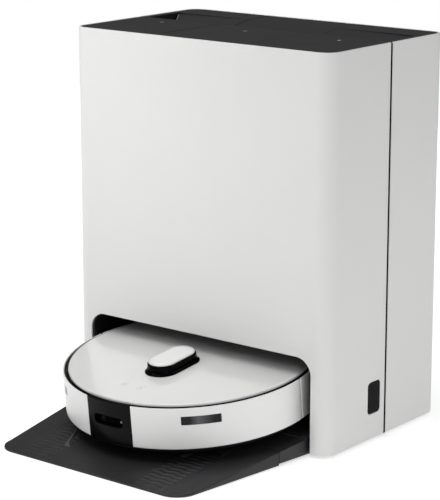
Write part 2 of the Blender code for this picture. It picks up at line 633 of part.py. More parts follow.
def build_wheels():
    for side, tag in ((-1, "left"), (1, "right")):
        x0, x1 = sorted((side * 0.0905, side * 0.1060))
        shape = [(-0.060, 0.042), (-0.060, 0.054), (-0.052, 0.058), (-0.020, 0.052), (0.002, 0.038),
                 (0.002, 0.028), (-0.006, 0.023), (-0.020, 0.024)]
        put("wheel_arm_" + tag, prism(shape, x0, x1, "x"), ROBOT, ((0.02, 0.02, 0.02), 0.5),
            (side * 0.098, -0.055, 0.049))
        mid = side * (WHEEL_IN + WHEEL_OUT) / 2
        half = (WHEEL_OUT - WHEEL_IN) / 2
        rim = [(0.0, half - 0.002), (0.022, half - 0.002), (0.024, half), (0.0305, half),
               (WHEEL_R, half - 0.003), (WHEEL_R, -half + 0.003), (0.0305, -half), (0.0, -half)]
        turned("wheel_" + tag, rim, 20, (mid, WHEEL_Y, WHEEL_R), "X", ROBOT, ((0.015, 0.015, 0.015), 0.85))
    fork = disc("caster_fork", 0.0200, 0.0260, 0.0300, 14, (0.0, CASTER_Y), ROBOT, ((0.02, 0.02, 0.02), 0.5))
    cheeks = blocks((-0.0115, -0.0085, CASTER_Y - 0.0030, CASTER_Y + 0.0130, 0.0090, 0.0270),
                    (0.0085, 0.0115, CASTER_Y - 0.0030, CASTER_Y + 0.0130, 0.0090, 0.0270))
    add(fork, put("add_fork_cheeks", cheeks, ROBOT))
    add(fork, disc("add_fork_stem", 0.0050, 0.0290, 0.0420, 10, (0.0, CASTER_Y), ROBOT))
    roller = [(0.0, 0.0078), (0.0100, 0.0078), (0.0115, 0.0060), (0.0115, -0.0060), (0.0100, -0.0078),
              (0.0, -0.0078)]
    turned("caster_wheel", roller, 16, (0.0, -0.1320, 0.0117), "X", ROBOT, ((0.03, 0.03, 0.03), 0.6))


def build_brushes():
    fins = 6
    star = []
    for i in range(fins * 2):
        angle = math.pi * i / fins
        radius = 0.0095 if i % 2 else 0.0188
        star.append((BRUSH_Y + radius * math.cos(angle), BRUSH_Z + radius * math.sin(angle)))
    roller = prism(star, -0.080, 0.080, "x")
    for x in (-0.040, 0.0, 0.040):
        bmesh.ops.bisect_plane(roller, geom=roller.verts[:] + roller.edges[:] + roller.faces[:],
                               dist=0.00001, plane_co=(x, 0, 0), plane_no=(1, 0, 0))
    for vert in roller.verts:
        twist = Matrix.Rotation(math.radians(15 * (vert.co.x + 0.080) / 0.040), 3, "X")
        centre = Vector((vert.co.x, BRUSH_Y, BRUSH_Z))
        vert.co = centre + twist @ (vert.co - centre)
    put("main_brush", roller, ROBOT, ((0.03, 0.03, 0.03), 0.7), (0.0, BRUSH_Y, BRUSH_Z))
    x, y = SIDE_BRUSH_X, SIDE_BRUSH_Y
    star = []
    for i in range(3):
        turn = 2 * math.pi * i / 3 + math.radians(20)
        for radius, step in ((0.0090, -0.55), (0.0340, -0.06), (0.0340, 0.06), (0.0090, 0.55)):
            star.append((x + radius * math.cos(turn + step), y + radius * math.sin(turn + step)))
    brush = put("side_brush", prism(star, 0.0035, 0.0055), ROBOT, ((0.04, 0.04, 0.04), 0.8), (x, y, 0.0035))
    add(brush, disc("add_side_hub", 0.0085, 0.0045, 0.0260, 12, (x, y), ROBOT))
    for side, tag in ((-1, "left"), (1, "right")):
        centre = (side * MOP_X, MOP_Y)
        profile = [(0.0, 0.0300), (0.0070, 0.0300), (0.0070, 0.0105), (0.0560, 0.0105), (0.0600, 0.0090),
                   (0.0600, 0.0070), (0.0, 0.0070)]
        turned("mop_disc_" + tag, profile, 20, (*centre, 0.0), "Z", ROBOT, (GREY, 0.5))
        disc("mop_pad_" + tag, MOP_R, 0.0008, 0.0066, 24, centre, ROBOT, ((0.35, 0.35, 0.37), 0.95), 0.0015)


def build_robot_inside():
    bin_body = put("dust_bin", blocks((-0.085, 0.038, -0.0360, 0.0180, 0.0185, 0.0720)), ROBOT, (GREY, 0.3))
    cut(bin_body, put("cut_bin", blocks((-0.083, 0.036, -0.0340, 0.0160, 0.0205, 0.08)), ROBOT))
    fan = [(0.0, 0.022), (0.0175, 0.022), (0.0175, 0.060), (0.0200, 0.060), (0.0200, 0.0185), (0.0, 0.0185)]
    turned("robot_fan", fan, 16, (0.0630, -0.0100, 0.0), "Z", ROBOT, ((0.02, 0.02, 0.02), 0.5))
    put("battery_pack", blocks((-0.045, 0.045, 0.0280, 0.1400, 0.0185, 0.0500)), ROBOT,
        ((0.02, 0.04, 0.12), 0.5))
    board = put("robot_board", blocks((-0.085, 0.085, 0.0300, 0.1300, 0.0560, 0.0576)), ROBOT, (GREEN, 0.4))
    chips = blocks((-0.060, -0.030, 0.050, 0.080, 0.0570, 0.0610),
                   (0.010, 0.035, 0.060, 0.090, 0.0570, 0.0600))
    add(board, put("add_robot_chips", chips, ROBOT))


build_base()
build_ramp()
build_tray()
build_feet()
build_shells()
build_liner()
build_core()
build_tank(-1, "clean_tank", (0.45, 0.50, 0.52))
build_tank(1, "dirty_tank", (0.18, 0.18, 0.19))
build_outer_lid(-1, "clean_tank_lid")
build_outer_lid(1, "dirty_tank_lid")
build_bag_door()
build_bag()
build_suction()
build_pumps()
build_station_electrics()
build_chassis()
build_sides()
build_top()
build_wheels()
build_brushes()
build_robot_inside()
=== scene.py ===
"""Robot vacuum parked in its washing and emptying station: surfaces, finishes, light and camera."""
import json
import math

import bmesh
import bpy
import numpy as np
from mathutils import Matrix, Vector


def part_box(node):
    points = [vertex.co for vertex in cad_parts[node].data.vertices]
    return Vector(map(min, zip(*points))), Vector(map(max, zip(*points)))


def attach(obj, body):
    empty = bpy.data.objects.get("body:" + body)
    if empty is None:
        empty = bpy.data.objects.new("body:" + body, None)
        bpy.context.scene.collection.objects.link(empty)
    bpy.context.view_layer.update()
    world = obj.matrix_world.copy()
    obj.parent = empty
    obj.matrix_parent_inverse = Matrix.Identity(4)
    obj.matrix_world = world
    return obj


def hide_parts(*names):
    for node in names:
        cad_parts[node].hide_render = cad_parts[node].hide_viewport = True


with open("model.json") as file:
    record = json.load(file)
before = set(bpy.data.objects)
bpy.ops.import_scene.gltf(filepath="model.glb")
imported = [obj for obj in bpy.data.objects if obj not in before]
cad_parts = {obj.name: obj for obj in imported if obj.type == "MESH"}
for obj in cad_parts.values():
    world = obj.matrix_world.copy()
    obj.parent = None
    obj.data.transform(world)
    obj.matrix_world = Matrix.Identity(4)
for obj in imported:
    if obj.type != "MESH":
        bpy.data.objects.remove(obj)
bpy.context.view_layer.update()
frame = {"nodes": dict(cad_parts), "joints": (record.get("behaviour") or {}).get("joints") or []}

JOINTS = {joint["name"]: joint for joint in frame["joints"]}

# ------------------------------------------------------------------ driving sizes, metres

FRONT_LOW, FRONT_HIGH = (np.array(corner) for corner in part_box("front_shell"))
REAR_LOW, REAR_HIGH = (np.array(corner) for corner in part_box("rear_shell"))
DOOR_LOW, DOOR_HIGH = (np.array(corner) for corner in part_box("bag_door"))
RAMP_LOW, RAMP_HIGH = (np.array(corner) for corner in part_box("ramp"))
HALF_W = FRONT_HIGH[0]
FRONT_Y = FRONT_LOW[1]
BACK_Y = REAR_HIGH[1]
TOP_Z = FRONT_HIGH[2]
DECK_Z = DOOR_HIGH[2]
WALL = 0.003
PLAY = 0.0005
CORNER_R = 0.022
REAR_CORNER_R = 0.021
MOUTH_HALF = 0.195
MOUTH_TOP = 0.137
MOUTH_R = 0.024
WINDOW = ((0.0775, 0.1075), (0.0400, 0.0855))
SPLIT = 0.0779
CHANNEL = (0.1275, 0.1981)
CHANNEL_DEEP = 0.0125
CHANNEL_TILT = 0.016
GRIP_FLOOR = 0.5025
INK = (-0.0002, 0.00012)
TREADS = (0.0760, 0.1265)
CREASE = 0.1285

# how closely curves are drawn: longest side on a bent skin, steps in a full turn of a large round
SPACING = 0.0022
ROUND_STEPS = 240

# the robot's own upright frame, read from its joints
UP = np.array(JOINTS["lidar_spin"]["axis"])
BACK = np.array(JOINTS["bumper_push"]["axis"])
RIGHT = np.array([1.0, 0.0, 0.0])
TURRET_Y = -0.040
TURRET_SEAT = 0.0854
ROBOT_ORIGIN = np.array(JOINTS["lidar_spin"]["pos_m"]) - TURRET_SEAT * UP - TURRET_Y * BACK
PITCH = math.atan2(BACK[2], BACK[1])
PLANE_DROP = 0.0004
R_SIDE = 0.1777
R_INSIDE = 0.1757
R_SKIN = 0.1730
R_NOSE = 0.1783
R_PLATE = 0.1700
PLATE_TOP = 0.0820
BUMPER_LOW = 0.0210
LIP_TOP = 0.0788
LEDGE = 0.0766
BUMPER_END = 93.7
REAR_START = 94.8
NOSE_TURN = 12.0
LENS_FRONT = -0.1722
LENS_BACK = -0.1716
KEY_X = 0.0143
KEY_Y = -0.1235
SIDE_BRUSH = (0.098, -0.104)
MOP_X = 0.0700
MOP_Y = 0.0800
WHEEL_X = 0.1175
CASTER = (0.0, -0.1320, 0.0117)
MAIN_BRUSH = (0.0, -0.062, 0.0215)


def to_row(points):
    """Robot coordinates to row coordinates: origin plus x right, y back and z up along the robot's axes."""
    points = np.asarray(points)
    return ROBOT_ORIGIN + points[..., :1] * RIGHT + points[..., 1:2] * BACK + points[..., 2:3] * UP


def seat(obj):
    """Carry a mesh made in robot coordinates into row coordinates: columns right, back, up and origin."""
    columns = np.column_stack([RIGHT, BACK, UP, ROBOT_ORIGIN])
    obj.data.transform(Matrix([*columns.tolist(), [0.0, 0.0, 0.0, 1.0]]))
    return obj


def slope(y):
    """Height of the driving surface: a plane through the robot's ground line, tilted by its pitch."""
    return ROBOT_ORIGIN[2] - PLANE_DROP + np.tan(PITCH) * (y - ROBOT_ORIGIN[1])


def ease(low, high, value):
    """Smooth step: 0 below low, 1 above high, cubic between them."""
    t = np.clip((value - low) / (high - low), 0.0, 1.0)
    return t * t * (3.0 - 2.0 * t)


# ------------------------------------------------------------------ mesh making

def quads(rows, columns, wrap_rows=False, wrap_columns=False):
    """Faces of a grid of points: each joins a point to its right, lower right and lower neighbour."""
    i = np.arange(rows if wrap_rows else rows - 1)[:, None]
    j = np.arange(columns if wrap_columns else columns - 1)[None, :]
    k = (i + 1) % rows
    m = (j + 1) % columns
    return np.stack([i * columns + j, k * columns + j, k * columns + m, i * columns + m], -1).reshape(-1, 4)


def as_object(name, points, faces, sharp=32.0):
    """A closed mesh object at the origin, welded, faces outwards, smooth below the sharp angle."""
    mesh = bpy.data.meshes.new(name)
    mesh.from_pydata(np.asarray(points).reshape(-1, 3).tolist(), [], [list(face) for face in faces])
    bm = bmesh.new()
    bm.from_mesh(mesh)
    bmesh.ops.remove_doubles(bm, verts=bm.verts, dist=2e-6)
    bmesh.ops.dissolve_degenerate(bm, dist=1e-7, edges=bm.edges)
    bmesh.ops.recalc_face_normals(bm, faces=bm.faces)
    if bm.calc_volume(signed=True) < 0.0:
        bmesh.ops.reverse_faces(bm, faces=bm.faces)
    bm.to_mesh(mesh)
    bm.free()
    obj = bpy.data.objects.new(name, mesh)
    bpy.context.scene.collection.objects.link(obj)
    shade(obj, sharp)
    return obj


def shade(obj, sharp):
    """Smooth shading with edges sharper than the angle kept hard."""
    mesh = obj.data
    mesh.polygons.foreach_set("use_smooth", np.ones(len(mesh.polygons), bool))
    mesh.set_sharp_from_angle(angle=math.radians(sharp))


def piece(obj, finish, body, *nodes):
    """Give a made object its finish, the body it rides on and the CAD nodes it stands for."""
    obj.data.materials.clear()
    obj.data.materials.append(FINISH[finish])
    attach(obj, body)
    if nodes:
        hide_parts(*nodes)
    return obj


def swept(name, grid, closed_path=False, sharp=32.0):
    """A loop profile carried along a path; the grid is (stations, loop points, xyz), ends capped."""
    stations, count = grid.shape[:2]
    faces = quads(stations, count, closed_path, True).tolist()
    if not closed_path:
        faces.append(list(range(count)))
        faces.append(list(range((stations - 1) * count, stations * count)))
    return as_object(name, grid, faces, sharp)


def turned(name, profile, steps=144, sharp=32.0):
    """A profile from axis to axis, as (radius, height), turned a full circle about the height axis."""
    return revolved(name, round_grid(profile, 0.0, 360.0, steps, False), sharp)


def revolved(name, grid, sharp=32.0):
    """A robot-frame grid (turn, profile, xyz) whose turns close on themselves, profile ends on the axis."""
    return as_object(name, to_row(grid), quads(*grid.shape[:2], True, False).tolist(), sharp)


def round_grid(profile, start, end, steps, last=True):
    """Points r·sin a, -r·cos a, h for every profile point and angle a; degrees from the robot's front."""
    profile = np.asarray(profile)
    angle = np.radians(np.linspace(start, end, steps + 1 if last else steps, endpoint=last))[:, None]
    radius, height = profile[None, :, 0], profile[None, :, 1]
    return np.stack([radius * np.sin(angle), -radius * np.cos(angle), height + 0 * angle], -1)


def prism(name, outline, low, high, axis=2, sharp=32.0):
    """A flat outline between two heights along an axis; the outline holds the other two coordinates."""
    outline = np.asarray(outline)
    count = len(outline)
    order = {0: (2, 0, 1), 1: (0, 2, 1), 2: (0, 1, 2)}[axis]
    rings = [np.column_stack([outline, np.full(count, height)])[:, order] for height in (low, high)]
    faces = quads(2, count, False, True).tolist()
    faces += [list(range(count)), list(range(count, 2 * count))]
    return as_object(name, np.stack(rings), faces, sharp)


def full_turn(steps):
    """Equal angles once round, starting at zero and leaving out the last."""
    return np.linspace(0.0, 2 * math.pi, steps, endpoint=False)


def circle(x, y, radius, angle):
    """Plan points at the given radius and angles about a centre."""
    return np.column_stack([x + radius * np.cos(angle), y + radius * np.sin(angle)])


def fillet(corners, radius, steps=6, closed=True):
    """Corners rounded by tangent arcs: each arc's centre lies on the corner's bisector."""
    corners = np.asarray(corners, float)
    radius = np.broadcast_to(radius, len(corners))
    rounded = []
    for i, corner in enumerate(corners):
        if radius[i] <= 0.0 or (not closed and i in (0, len(corners) - 1)):
            rounded.append(corner[None])
            continue
        before = corners[i - 1] - corner
        after = corners[(i + 1) % len(corners)] - corner
        before /= np.linalg.norm(before)
        after /= np.linalg.norm(after)
        half = np.arccos(np.clip(before @ after, -1.0, 1.0)) / 2
        middle = corner + (before + after) / np.linalg.norm(before + after) * radius[i] / np.sin(half)
        first = corner + before * radius[i] / np.tan(half) - middle
        last = corner + after * radius[i] / np.tan(half) - middle
        turn = math.pi - 2 * half
        t = np.linspace(0.0, 1.0, steps + 1)[:, None]
        rounded.append(middle + (np.sin((1 - t) * turn) * first + np.sin(t * turn) * last) / np.sin(turn))
    return np.concatenate(rounded)


def dense(outline, longest):
    """A closed outline with points added so that no side is longer than the given length."""
    outline = np.asarray(outline)
    filled = []
    for start, end in zip(outline, np.roll(outline, -1, axis=0)):
        count = max(1, int(np.ceil(np.linalg.norm(end - start) / longest)))
        filled.append(start + (end - start) * np.arange(count)[:, None] / count)
    return np.concatenate(filled)


def inset(outline, depth):
    """A closed outline moved inwards: each point slides along the mean of its sides' normals."""
    outline = np.asarray(outline)
    ahead = np.roll(outline, -1, axis=0) - outline
    ahead /= np.linalg.norm(ahead, axis=1)[:, None] + 1e-12
    normal = np.column_stack([-ahead[:, 1], ahead[:, 0]])
    mean = normal + np.roll(normal, 1, axis=0)
    mean /= np.maximum(np.linalg.norm(mean, axis=1), 1e-9)[:, None]
    area = np.sum(outline[:, 0] * np.roll(outline[:, 1], -1) - np.roll(outline[:, 0], -1) * outline[:, 1])
    return outline + mean * depth * np.sign(area)


def layered(name, layers, sharp=32.0):
    """Outlines of equal count, each a (plan outline, height), stacked and closed at both ends."""
    rings = np.stack([np.column_stack([outline, np.full(len(outline), z)]) for outline, z in layers])
    return swept(name, rings, sharp=sharp)


def rectangle(x0, x1, y0, y1, radius=0.0, steps=6):
    """Outline between two corners, its own corners rounded by tangent arcs."""
    return fillet([(x0, y0), (x1, y0), (x1, y1), (x0, y1)], radius, steps)


def mirrored(side, *ends):
    """Two or more distances from the middle plane, taken to one side and put in rising order."""
    return sorted(side * end for end in ends)


def carve(obj, *cutters, operation="DIFFERENCE", sharp=32.0):
    """Cut each cutter out of a piece, or join it on, and leave only the finished mesh."""
    for cutter in cutters:
        mod = obj.modifiers.new("cut", "BOOLEAN")
        mod.operation = operation
        mod.solver = "EXACT"
        mod.object = cutter
    bpy.context.view_layer.update()
    made = bpy.data.meshes.new_from_object(obj.evaluated_get(bpy.context.evaluated_depsgraph_get()))
    obj.modifiers.clear()
    obj.data = made
    for cutter in cutters:
        bpy.data.objects.remove(cutter, do_unlink=True)
    shade(obj, sharp)
    return obj


def soften(obj, width, segments=2, angle=32.0):
    """Break every hard edge with a small round and keep broad faces flat."""
    bevel = obj.modifiers.new("broken edge", "BEVEL")
    bevel.width = width
    bevel.segments = segments
    bevel.limit_method = "ANGLE"
    bevel.angle_limit = math.radians(angle)
    bevel.use_clamp_overlap = True
    bevel.harden_normals = False
    flat = obj.modifiers.new("flat faces", "WEIGHTED_NORMAL")
    flat.keep_sharp = False
    flat.weight = 80
    return obj


def join(obj, *others):
    """Put other closed bodies into one piece's mesh."""
    bm = bmesh.new()
    for member in (obj, *others):
        bm.from_mesh(member.data)
    bm.to_mesh(obj.data)
    bm.free()
    for other in others:
        bpy.data.objects.remove(other, do_unlink=True)
    return obj


# ------------------------------------------------------------------ finishes

def linear(code):
    """An sRGB hex colour as linear light: each channel by the sRGB curve, fully opaque."""
    channels = [int(code[i:i + 2], 16) / 255 for i in (0, 2, 4)]
    return (*[c / 12.92 if c <= 0.04045 else ((c + 0.055) / 1.055) ** 2.4 for c in channels], 1.0)


def add(owner, kind, inputs=None, **settings):
    """Add one shader node to a material or world: settings are its options, inputs values or sockets."""
    made = owner.node_tree.nodes.new("ShaderNode" + kind)
    for key, value in settings.items():
        setattr(made, key, value)
    for key, value in (inputs or {}).items():
        if isinstance(value, bpy.types.NodeSocket):
            owner.node_tree.links.new(value, made.inputs[key])
        else:
            made.inputs[key].default_value = value
    return made


def moulding(name, color, rough, grain_mm, grain_depth_mm, mottle, spread, shader_values):
    """A moulded surface: a fine grain as bump, a slow drift in tone and in gloss."""
    mat = bpy.data.materials.new(name)
    mat.use_nodes = True
    shader = mat.node_tree.nodes["Principled BSDF"]
    place = add(mat, "TexCoord").outputs["Object"]
    grain = add(mat, "TexNoise", {"Vector": place, "Scale": 1000.0 / grain_mm, "Detail": 2.0,
                                  "Roughness": 0.55})
    drift = add(mat, "TexNoise", {"Vector": place, "Scale": 14.0, "Detail": 3.0})
    base = np.array(linear(color))
    tone = add(mat, "ValToRGB", {"Fac": drift.outputs["Fac"]})
    tone.color_ramp.elements[0].position = 0.3
    tone.color_ramp.elements[0].color = (*(base[:3] * (1 - mottle)), 1.0)
    tone.color_ramp.elements[1].position = 0.7
    tone.color_ramp.elements[1].color = (*np.minimum(base[:3] * (1 + mottle), 1.0), 1.0)
    gloss = add(mat, "MapRange", {"Value": drift.outputs["Fac"], "From Min": 0.3, "From Max": 0.7,
                                  "To Min": rough * (1 - spread), "To Max": rough * (1 + spread)})
    bump = add(mat, "Bump", {"Height": grain.outputs["Fac"], "Strength": 1.0,
                             "Distance": grain_depth_mm / 1000.0})
    link = mat.node_tree.links.new
    link(tone.outputs["Color"], shader.inputs["Base Color"])
    link(gloss.outputs["Result"], shader.inputs["Roughness"])
    link(bump.outputs["Normal"], shader.inputs["Normal"])
    for key, value in shader_values.items():
        shader.inputs[key].default_value = value
    return mat


def paint_reflection_band(mat):
    """Painted reflection across a sensor window: distance from the robot's middle plane picks its tone from
    a soft pale band.
    """
    shader = mat.node_tree.nodes["Principled BSDF"]
    place = add(mat, "SeparateXYZ", {"Vector": add(mat, "TexCoord").outputs["Object"]})
    aside = add(mat, "Math", {0: place.outputs["X"]}, operation="ABSOLUTE")
    share = add(mat, "MapRange", {"Value": aside.outputs[0], "From Min": 0.1005, "From Max": 0.1395})
    reflection_band = add(mat, "ValToRGB", {"Fac": share.outputs["Result"]})
    stops = reflection_band.color_ramp.elements
    stops[0].position = 0.22
    stops[0].color = linear("0A0A0B")
    stops[1].position = 0.85
    stops[1].color = linear("0C0C0D")
    # pale middle stop: the painted reflection
    middle = stops.new(0.46)
    middle.color = linear("5E5E60")
    mat.node_tree.links.new(reflection_band.outputs["Color"], shader.inputs["Base Color"])


# finish: (record slot, colour, roughness, grain mm, grain depth mm, tone drift, gloss drift, other values)
FINISHES = {
    # satin moulded ABS: broad soft highlights, a spark-eroded grain too fine to see, drawn at 0.9 mm
    "satin white ABS": ("white_shell", "ECECEB", 0.46, 0.9, 0.006, 0.006, 0.06, {"IOR": 1.5}),
    # painted and lacquered lid: clear mirror of its surroundings over a white body
    "white lacquered lid": ("robot_white", "FAFAF9", 0.20, 3.0, 0.004, 0.004, 0.06,
                            {"Coat Weight": 0.5, "Coat Roughness": 0.06, "IOR": 1.5}),
    # bumper skin: the same white, a little duller
    "semi-gloss white ABS": ("robot_white", "F9F9F8", 0.32, 1.5, 0.001, 0.004, 0.005,
                             {"Coat Weight": 0.1, "Coat Roughness": 0.25, "IOR": 1.5}),
    # textured deck: dry charcoal with a leathery grain of about 0.8 mm
    "grained charcoal ABS": ("charcoal_deck", "262628", 0.58, 0.8, 0.02, 0.04, 0.06,
                             {"IOR": 1.5, "Specular IOR Level": 0.35}),
    # ramp: tougher, slightly shinier polypropylene
    "charcoal polypropylene": ("charcoal_deck", "2E2E30", 0.50, 0.9, 0.02, 0.06, 0.06,
                               {"IOR": 1.49, "Specular IOR Level": 0.4}),
    # ramp guide: the same polypropylene in a paler copy, a painted highlight where the left fin catches the
    # light
    "charcoal polypropylene painted lit": ("charcoal_deck", "5A5A5C", 0.42, 0.9, 0.02, 0.06, 0.06, {"IOR": 1.49}),
    # unseen mouldings: dull black, so the garage reads as a dark room
    "matt black ABS": ("black_inner", "0C0C0D", 0.66, 0.9, 0.015, 0.08, 0.06,
                       {"IOR": 1.5, "Specular IOR Level": 0.3}),
    # seam gasket: black foam in the joint; sensor slot lining: a black sheet that paints shade over the
    # slot's floor
    "seam foam and painted slot shade": ("black_inner", "040404", 0.95, 0.6, 0.02, 0.05, 0.01,
                        {"IOR": 1.4, "Specular IOR Level": 0.05}),
    # windows: infrared-passing acrylic, ink black and smooth, an anti-glare film taking most of its shine
    "black acrylic window": ("black_gloss", "050506", 0.10, 6.0, 0.001, 0.02, 0.06,
                             {"IOR": 1.49, "Specular IOR Level": 0.05}),
    # nose block: solid black acrylic shell, a little shinier than the windows
    "black nose gloss": ("black_gloss", "060607", 0.20, 6.0, 0.001, 0.02, 0.06,
                         {"IOR": 1.49, "Specular IOR Level": 0.08}),
    # camera lenses: dark coated glass, barely shining inside their slot
    "smoked lens": ("black_gloss", "040405", 0.10, 6.0, 0.0005, 0.02, 0.06,
                    {"IOR": 1.52, "Specular IOR Level": 0.05}),
    # grey disc beside the lenses: a painted highlight for the small light fleck in the slot
    "grey disc painted as a glint": ("black_gloss", "8C8C90", 0.35, 3.0, 0.001, 0.02, 0.06, {"IOR": 1.49}),
    # distance sensor window: black acrylic with a painted reflection, a pale band down its middle
    "infrared window with painted reflection": ("black_gloss", "0A0A0B", 0.16, 6.0, 0.001, 0.02, 0.06,
                        {"IOR": 1.49, "Specular IOR Level": 0.22}),
    "grey ABS": ("grey_plastic", "8A8A8C", 0.42, 1.0, 0.012, 0.04, 0.06, {"IOR": 1.5}),
    "pale icon ink": ("grey_plastic", "B4B4B6", 0.5, 1.0, 0.004, 0.03, 0.06, {"IOR": 1.5}),
    "grey icon ink": ("grey_plastic", "B9B9BA", 0.4, 1.0, 0.004, 0.03, 0.06, {"IOR": 1.5}),
    # bag collar: uncoated pulp board, dry and slightly yellow
    "white card": ("white_shell", "D9D6CE", 0.85, 0.8, 0.03, 0.03, 0.06, {"IOR": 1.45}),
    "tyre rubber": ("tyre_black", "1B1B1C", 0.88, 0.7, 0.05, 0.10, 0.06, {"IOR": 1.52}),
    # mop cloth: looped microfibre, loops of about 1.5 mm standing up as soft bumps
    "looped microfibre": ("mop_cloth", "6E7076", 0.95, 1.5, 0.60, 0.16, 0.06,
                          {"Sheen Weight": 0.4, "Sheen Roughness": 0.5}),
    # bag fleece: pressed fibres, 1.2 mm clumps, dull and slightly yellow
    "non-woven fleece": ("bag_fleece", "C9C5B8", 0.96, 1.2, 0.12, 0.07, 0.06,
                         {"Sheen Weight": 0.2, "Sheen Roughness": 0.6}),
    "epoxy circuit board": ("circuit_board", "1E4A2C", 0.38, 1.6, 0.03, 0.15, 0.06, {"IOR": 1.55}),
    "natural rubber": ("rubber_black", "161617", 0.82, 0.8, 0.03, 0.10, 0.06, {"IOR": 1.52}),
    "nylon bristle": ("bristle", "1E1E20", 0.55, 0.5, 0.02, 0.15, 0.06, {"IOR": 1.53}),
    "gold plated contact": ("contact_metal", "D9B25C", 0.24, 0.6, 0.004, 0.05, 0.06, {"Metallic": 1.0}),
    "zinc plated steel": ("contact_metal", "9A9C9E", 0.38, 0.7, 0.01, 0.06, 0.06, {"Metallic": 1.0}),
    # tanks: blow-moulded polycarbonate, part clear and part smoke
    "smoked polycarbonate": ("clear_tank", "7C8285", 0.16, 4.0, 0.003, 0.02, 0.06,
                             {"IOR": 1.58, "Transmission Weight": 0.55}),
    "dark polycarbonate": ("dark_tank", "4A4A4C", 0.18, 4.0, 0.003, 0.02, 0.06,
                           {"IOR": 1.58, "Transmission Weight": 0.45}),
}
FINISH = {name: moulding(name, *values) for name, (_, *values) in FINISHES.items()}
paint_reflection_band(FINISH["infrared window with painted reflection"])


# ------------------------------------------------------------------ station walls

def wall_grid(plan, inset_top, low, high):
    """A rounded strip section carried along the plan: each plan point moved along its inward normal."""
    section = fillet([(0.0, low), (0.0, high), (inset_top, high), (inset_top, low)],
                     [0.0012, 0.0008, 0.0006, 0.0006], 4)
    ahead = np.gradient(plan, axis=0)
    ahead /= np.linalg.norm(ahead, axis=1)[:, None]
    inward = np.column_stack([-ahead[:, 1], ahead[:, 0]])
    flat = plan[:, None, :] + inward[:, None, :] * section[None, :, :1]
    return np.concatenate([flat, np.broadcast_to(section[None, :, 1:], (*flat.shape[:2], 1))], -1)


def plan_of(corners, radius):
    """Plan of a wall: straight runs joined by corner arcs, open at both ends."""
    return fillet(corners, radius, 24, closed=False)


def build_walls():
    """Front and rear shells swept along their plans, with mouth, window, inlet and louvres cut through."""
    low, seam = FRONT_LOW[2], FRONT_HIGH[1]
    plan = plan_of([(-HALF_W, seam), (-HALF_W, FRONT_Y), (HALF_W, FRONT_Y), (HALF_W, seam)], CORNER_R)
    front = swept("station_front_wall", wall_grid(plan, WALL, low, TOP_Z))
    mouth = rectangle(-MOUTH_HALF, MOUTH_HALF, -0.05, MOUTH_TOP, [0.0, 0.0, MOUTH_R, MOUTH_R], 16)
    (y0, y1), (z0, z1) = WINDOW
    window = rectangle(y0, y1, z0, z1, 0.0060, 8)
    carve(front, prism("mouth", mouth, FRONT_Y - 0.02, FRONT_Y + 0.02, 1),
          prism("window", window, HALF_W - 0.01, HALF_W + 0.01, 0))
    piece(soften(front, 0.0007), "satin white ABS", "station", "front_shell")
    seam = REAR_LOW[1]
    plan = plan_of([(HALF_W, seam), (HALF_W, BACK_Y), (-HALF_W, BACK_Y), (-HALF_W, seam)], REAR_CORNER_R)
    rear = swept("station_rear_wall", wall_grid(plan, WALL, low, TOP_Z))
    inlet = rectangle(0.1345, 0.1655, 0.0780, 0.1020, 0.0030, 5)
    cutters = [prism("inlet", inlet, BACK_Y - 0.01, BACK_Y + 0.01, 1)]
    for i in range(9):
        slot = rectangle(-0.170, -0.070, 0.060 + 0.008 * i, 0.0635 + 0.008 * i, 0.0016, 4)
        cutters.append(prism("slot", slot, BACK_Y - 0.0012, BACK_Y + 0.01, 1))
    carve(rear, *cutters)
    piece(soften(rear, 0.0006), "satin white ABS", "station", "rear_shell")
    gap = 0.0004
    window = rectangle(y0 + gap, y1 - gap, z0 + gap, z1 - gap, 0.0056, 8)
    glass = prism("status_window", window, HALF_W - 0.0050, HALF_W - 0.0005, 0)
    piece(soften(glass, 0.0007, 3), "black acrylic window", "station", "side_window")
    for side, tag in ((-1, "left"), (1, "right")):
        inner, outer = mirrored(side, HALF_W - 0.0040, HALF_W - 0.0006)
        strip = rectangle(inner, outer, FRONT_HIGH[1] + 0.0002, REAR_LOW[1] - 0.0002, 0.0004, 3)
        gasket = prism("seam_gasket_" + tag, strip, low, TOP_Z - 0.0008)
        piece(gasket, "seam foam and painted slot shade", "station")


# ------------------------------------------------------------------ deck

def wedge(name, x0, x1, tilt):
    """Channel tool: floor rises from its front edge to the deck and sinks outwards by the tilt."""
    x = np.array([x0, x1])
    deep = DECK_Z - CHANNEL_DEEP - tilt * (np.abs(x) - SPLIT)
    level = DECK_Z - tilt * (np.abs(x) - SPLIT)
    rings = [[(px, CHANNEL[0], d), (px, CHANNEL[1], b), (px, CHANNEL[1], 0.57), (px, CHANNEL[0], 0.57)]
             for px, d, b in zip(x, deep, level)]
    return swept(name, np.array(rings))


